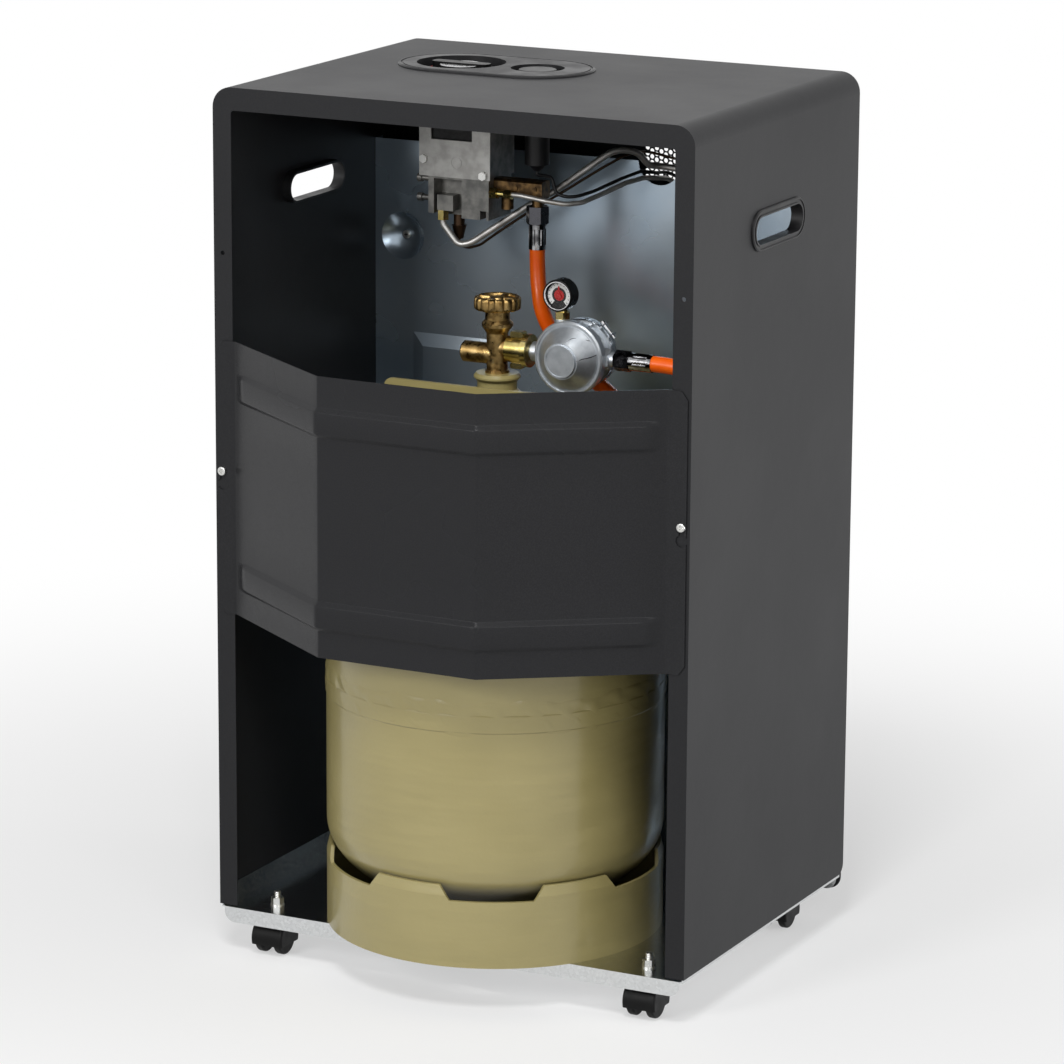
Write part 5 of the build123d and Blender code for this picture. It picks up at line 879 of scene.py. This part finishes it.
row_of_plaques = add_node(tree, "GeometryNodeMeshLine", [
    ("Start Location", source.outputs["Place"]), ("Offset", source.outputs["Plaque pitch"]),
], Count=PLAQUES)
all_ports = add_node(tree, "GeometryNodeInstanceOnPoints",
                     [("Points", row_of_plaques.outputs[0]), ("Instance", upright.outputs[0])])
end_tree(tree, all_ports.outputs[0], outlet, port_shadow)
plaque_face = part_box("plaque_right")[0].y
plaque_mid = middle("plaque_right")
grow("flame_ports", tree, {
    "Columns": PORTS_WIDE, "Rows": PORTS_HIGH, "Width": FIELD_W, "Height": FIELD_H,
    "Port radius": PORT_R, "Plaque pitch": (PLAQUE_PITCH, 0.0, 0.0),
    "Place": (plaque_mid.x, plaque_face - PORT_LIFT, plaque_mid.z),
}, "heater_cabinet")

# %% [markdown]
# ## Threads on the castor stems
# Each castor stem ends in a thread above its nut. A thread of such a size reads as a stack of
# fine rings, so a line of rings stands on each of the four stems.

# %% Stem threads
tree, source, outlet = new_tree("stem_threads", [
    ("Turns", "Int"), ("Pitch", "Vector"), ("Radius", "Float"), ("Ridge", "Float"),
])
loop = add_node(tree, "GeometryNodeCurvePrimitiveCircle", [("Radius", source.outputs["Radius"])],
                Resolution=24)
ridge = add_node(tree, "GeometryNodeCurvePrimitiveCircle", [("Radius", source.outputs["Ridge"])],
                 Resolution=6)
turn_ring = add_node(tree, "GeometryNodeCurveToMesh",
                     [("Curve", loop.outputs[0]), ("Profile Curve", ridge.outputs[0])])
stack = add_node(tree, "GeometryNodeMeshLine", [
    ("Count", source.outputs["Turns"]), ("Offset", source.outputs["Pitch"]),
])
one_thread = add_node(tree, "GeometryNodeInstanceOnPoints",
                      [("Points", stack.outputs[0]), ("Instance", turn_ring.outputs[0])])
threads = add_node(tree, "GeometryNodeInstanceOnPoints",
                   [("Points", source.outputs["Geometry"]), ("Instance", one_thread.outputs[0])])
end_tree(tree, threads.outputs[0], outlet, zinc_plate)
stem_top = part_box("castor_fixings")[1].z
STEM_X, STEM_YS, THREAD_DOWN = 0.185, (0.10975, -0.17025), 0.0042
stem_places = [(x, y, stem_top - THREAD_DOWN) for x in (-STEM_X, STEM_X) for y in STEM_YS]
TURNS, THREAD_PITCH, THREAD_R, RIDGE_R = 4, 0.00115, 0.00285, 0.0004
grow("stem_threads", tree, {
    "Turns": TURNS, "Pitch": (0.0, 0.0, THREAD_PITCH), "Radius": THREAD_R, "Ridge": RIDGE_R,
}, "heater_cabinet", stem_places)

# %% [markdown]
# ## Cross recesses
# The screws in the partition's cups have a cross recess. It is drawn as a thin dark cross of
# painted shade that lies in the top of the head.

# %% Screw recesses
# painted shade for recesses that are not cut: the screws' crosses and the valve's slot
painted_recess_shade = finish("painted_recess_shade", (0.01, 0.01, 0.01), 0.6)
smudge(painted_recess_shade, 400, 0.5, 0.7)
tree, source, outlet = new_tree("screw_recess", [("Long", "Vector"), ("Tall", "Vector")])
arm = add_node(tree, "GeometryNodeMeshCube", [("Size", source.outputs["Long"])])
post = add_node(tree, "GeometryNodeMeshCube", [("Size", source.outputs["Tall"])])
cross = add_node(tree, "GeometryNodeJoinGeometry", [(0, arm.outputs[0]), (0, post.outputs[0])])
crosses = add_node(tree, "GeometryNodeInstanceOnPoints",
                   [("Points", source.outputs["Geometry"]), ("Instance", cross.outputs[0])])
end_tree(tree, crosses.outputs[0], outlet, painted_recess_shade)
CUP_X, CUP_Z = 0.2, 0.610
CROSS_LONG, CROSS_WIDE, CROSS_DEEP = 0.0036, 0.0008, 0.0004
screw_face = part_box("partition_screws")[1].y
grow("screw_recesses", tree, {
    "Long": (CROSS_LONG, CROSS_DEEP, CROSS_WIDE), "Tall": (CROSS_WIDE, CROSS_DEEP, CROSS_LONG),
}, "heater_cabinet", [(x, screw_face, CUP_Z) for x in (-CUP_X, CUP_X)])

# %% [markdown]
# ## The pressure gauge's face
# The gauge has a black face with a white band that is open at the bottom, dark marks on the
# band, a red field round the pointer and a bright rim. The band and the field are thin rings
# above the card, and a tree sets the marks round an arc.

# %% Print the gauge's face
gauge_black = finish("gauge_black", (0.012, 0.012, 0.013), 0.35)
smudge(gauge_black, 300, 0.3, 0.45)
dress("gauge_dial", gauge_black)
DIAL = middle("gauge_dial")
DIAL.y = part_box("gauge_dial")[1].y
# inner and outer radius
WHITE_BAND, RED_FIELD, RIM = (0.0068, 0.0108), (0.0019, 0.0047), (0.0118, 0.0126)
PRINT_RISE, RIM_DEPTH = 0.00022, 0.0016
MARKS, MARKS_R, MARK_SIZE = 14, 0.0098, (0.0018, 0.0004, 0.0004)


def ring_band(centre, inner, outer, start, sweep, front, back, steps=48):
    """Flat ring, or part of one, that faces the rear; radii in metres, angles in degrees."""
    verts, faces = [], []
    for k in range(steps + 1):
        a = math.radians(start + sweep * k / steps)
        for radius, y in ((inner, front), (outer, front), (outer, back), (inner, back)):
            verts.append((centre.x + radius * math.cos(a), centre.y + y,
                          centre.z + radius * math.sin(a)))
    for k in range(steps):
        for j in range(4):
            a, b = 4 * k + j, 4 * k + (j + 1) % 4
            faces.append((a, b, b + 4, a + 4))
    if sweep < 360:
        faces += [(0, 1, 2, 3), tuple(4 * steps + j for j in (3, 2, 1, 0))]
    return verts, faces


add_piece("gauge_band", *ring_band(DIAL, *WHITE_BAND, -50, 280, PRINT_RISE, 0.0), gauge_card,
          "heater_cabinet", "gauge_card")
add_piece("gauge_red_field", *ring_band(DIAL, *RED_FIELD, 0, 360, PRINT_RISE, 0.0), pointer_red,
          "heater_cabinet", "pointer_red")
rim_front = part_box("gauge_case")[1].y - DIAL.y
add_piece("gauge_rim", *ring_band(DIAL, *RIM, 0, 360, rim_front, rim_front - RIM_DEPTH),
          bright_chrome, "heater_cabinet", "bright_chrome")

# %% Set the gauge's marks
tree, source, outlet = new_tree("gauge_marks", [
    ("Marks", "Int"), ("Radius", "Float"), ("Mark size", "Vector"), ("Place", "Vector"),
])
arc = add_node(tree, "GeometryNodeCurveArc", [
    ("Resolution", source.outputs["Marks"]), ("Radius", source.outputs["Radius"]),
], mode="RADIUS", Start_Angle=math.radians(-40), Sweep_Angle=math.radians(260))
dots = add_node(tree, "GeometryNodeCurveToMesh", [("Curve", arc.outputs[0])])
where = add_node(tree, "GeometryNodeInputPosition")
spin = add_node(tree, "FunctionNodeAlignRotationToVector", [("Vector", where.outputs[0])], axis="X")
mark = add_node(tree, "GeometryNodeMeshCube", [("Size", source.outputs["Mark size"])])
marks = add_node(tree, "GeometryNodeInstanceOnPoints", [
    ("Points", dots.outputs[0]), ("Instance", mark.outputs[0]), ("Rotation", spin.outputs[0]),
])
stood = add_node(tree, "GeometryNodeTransform", [
    ("Geometry", marks.outputs[0]), ("Translation", source.outputs["Place"]),
], Rotation=(math.radians(90), 0, 0))
end_tree(tree, stood.outputs[0], outlet, gauge_black)
MARK_LIFT = 0.0002
grow("gauge_marks", tree, {
    "Marks": MARKS, "Radius": MARKS_R, "Mark size": MARK_SIZE,
    "Place": (DIAL.x, DIAL.y + MARK_LIFT, DIAL.z),
}, "heater_cabinet")

# %% [markdown]
# ## Cast details on the regulator
# The regulator's cover is a die casting. Its flat cap has a fine raised edge, and two thin ribs
# run from the cap over the cone, where the metal flowed in. The ribs are short curves with a
# round section, laid on the cone and made a mesh.

# %% Edge and ribs of the cover
CAP = middle("regulator_cover")
CAP.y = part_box("regulator_cover")[1].y
CONE_IN, CONE_OUT, CAP_STEP, CONE_DEPTH = 0.0159, 0.0286, 0.0020, 0.0145
RIB_R = 0.00035
EDGE_IN, EDGE_OUT, EDGE_RISE, EDGE_SINK = 0.0130, 0.0142, 0.0004, 0.0002
add_piece("cap_edge", *ring_band(CAP, EDGE_IN, EDGE_OUT, 0, 360, EDGE_RISE, -EDGE_SINK),
          regulator_zinc, "heater_cabinet", "regulator_zinc")


def on_cone(radius, degrees):
    """Point on the cover's cone; the angle runs from the viewer's right upwards."""
    slope = min(max((radius - CONE_IN) / (CONE_OUT - CONE_IN), 0.0), 1.0)
    angle = math.radians(degrees)
    return (CAP.x - radius * math.cos(angle), CAP.y - CAP_STEP - CONE_DEPTH * slope,
            CAP.z + radius * math.sin(angle))


def rib(name, spots):
    """A thin round rib over (radius, degrees) spots of the cone, kept as a mesh."""
    strand = smooth_tube(name + "_line", [on_cone(*spot) for spot in spots], RIB_R)
    graph = bpy.context.evaluated_depsgraph_get()
    data = bpy.data.meshes.new_from_object(strand.evaluated_get(graph), depsgraph=graph)
    bpy.data.objects.remove(strand)
    settle(place_mesh(name, data), dark_chrome, "heater_cabinet", 60)


rib("cover_rib_top", [(0.0152, 84), (0.0195, 72), (0.0225, 66), (0.0275, 40)])
rib("cover_rib_side", [(0.0152, 6), (0.0190, 10), (0.0235, 9), (0.0280, 12)])
print("cap edge and two ribs")

# %% [markdown]
# ## The dark slot of the gas valve
# The slot in the valve's cover plate looks black, as the pocket behind it lies in shade. A thin
# black sheet at the bottom of the pocket behind the slot paints that shade and gives the depth.

# %% Darken the slot
CABINET_TOP = 0.785
SLOT_W, SLOT_LOW, SLOT_TOP, SLOT_SHIFT = 0.0405, 0.0645, 0.0525, 0.003
POCKET_DEPTH, BLACK_SHEET = 0.0020, 0.0004
slot_x = middle("valve_cover_plate").x + SLOT_SHIFT
slot_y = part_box("valve_cover_plate")[0].y - POCKET_DEPTH


def thin_box(low_corner, high_corner):
    """The eight corners and six faces of a box."""
    xs, ys, zs = zip(low_corner, high_corner)
    verts = [(x, y, z) for z in zs for y in ys for x in xs]
    faces = [(0, 2, 3, 1), (4, 5, 7, 6), (0, 1, 5, 4), (2, 6, 7, 3), (0, 4, 6, 2), (1, 3, 7, 5)]
    return verts, faces


# painted shadow: a black sheet at the bottom of the slot's pocket
slot_corners = ((slot_x - SLOT_W / 2, slot_y - BLACK_SHEET, CABINET_TOP - SLOT_LOW),
                (slot_x + SLOT_W / 2, slot_y, CABINET_TOP - SLOT_TOP))
add_piece("slot_shadow", *thin_box(*slot_corners), painted_recess_shade, "heater_cabinet", "black_plastic")
print("slot", SLOT_W, "m wide darkened")

# %% [markdown]
# ## The knob's face
# The knob's middle holds a satin metal disc below the finger bar, and a red mark on its skirt
# shows where the knob points. Both ride with the knob.

# %% Finish the knob
KNOB = middle("control_knob")
knob_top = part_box("control_knob")[1].z
DISC_R, DISC_RISE, DISC_DOWN = 0.0194, 0.0005, 0.0021
MARK_IN, MARK_OUT, MARK_HALF, MARK_DOWN, MARK_RISE = 0.0215, 0.0305, 0.0014, 0.0061, 0.0003


def thin_disc(centre, z, radius, rise, steps=48):
    """A low disc with a sloped edge, from z up by rise."""
    verts, faces = [], []
    for r, h in ((0.0, z + rise), (radius - rise, z + rise), (radius, z), (0.0, z)):
        for k in range(steps):
            a = 2 * math.pi * k / steps
            verts.append((centre.x + r * math.cos(a), centre.y + r * math.sin(a), h))
    for row in range(3):
        for k in range(steps):
            a, b = row * steps + k, row * steps + (k + 1) % steps
            faces.append((a, b, b + steps, a + steps))
    return verts, faces


knob_metal = finish("knob_metal", (0.58, 0.58, 0.59), 0.28, 1.0)
smudge(knob_metal, 200, 0.22, 0.36)
add_piece("knob_disc", *thin_disc(KNOB, knob_top - DISC_DOWN, DISC_R, DISC_RISE), knob_metal,
          "control_knob", "bright_chrome")
mark_z = knob_top - MARK_DOWN
mark_corners = ((KNOB.x + MARK_IN, KNOB.y - MARK_HALF, mark_z),
                (KNOB.x + MARK_OUT, KNOB.y + MARK_HALF, mark_z + MARK_RISE))
add_piece("knob_mark", *thin_box(*mark_corners), pointer_red, "control_knob", "pointer_red")
print("knob disc and mark set")
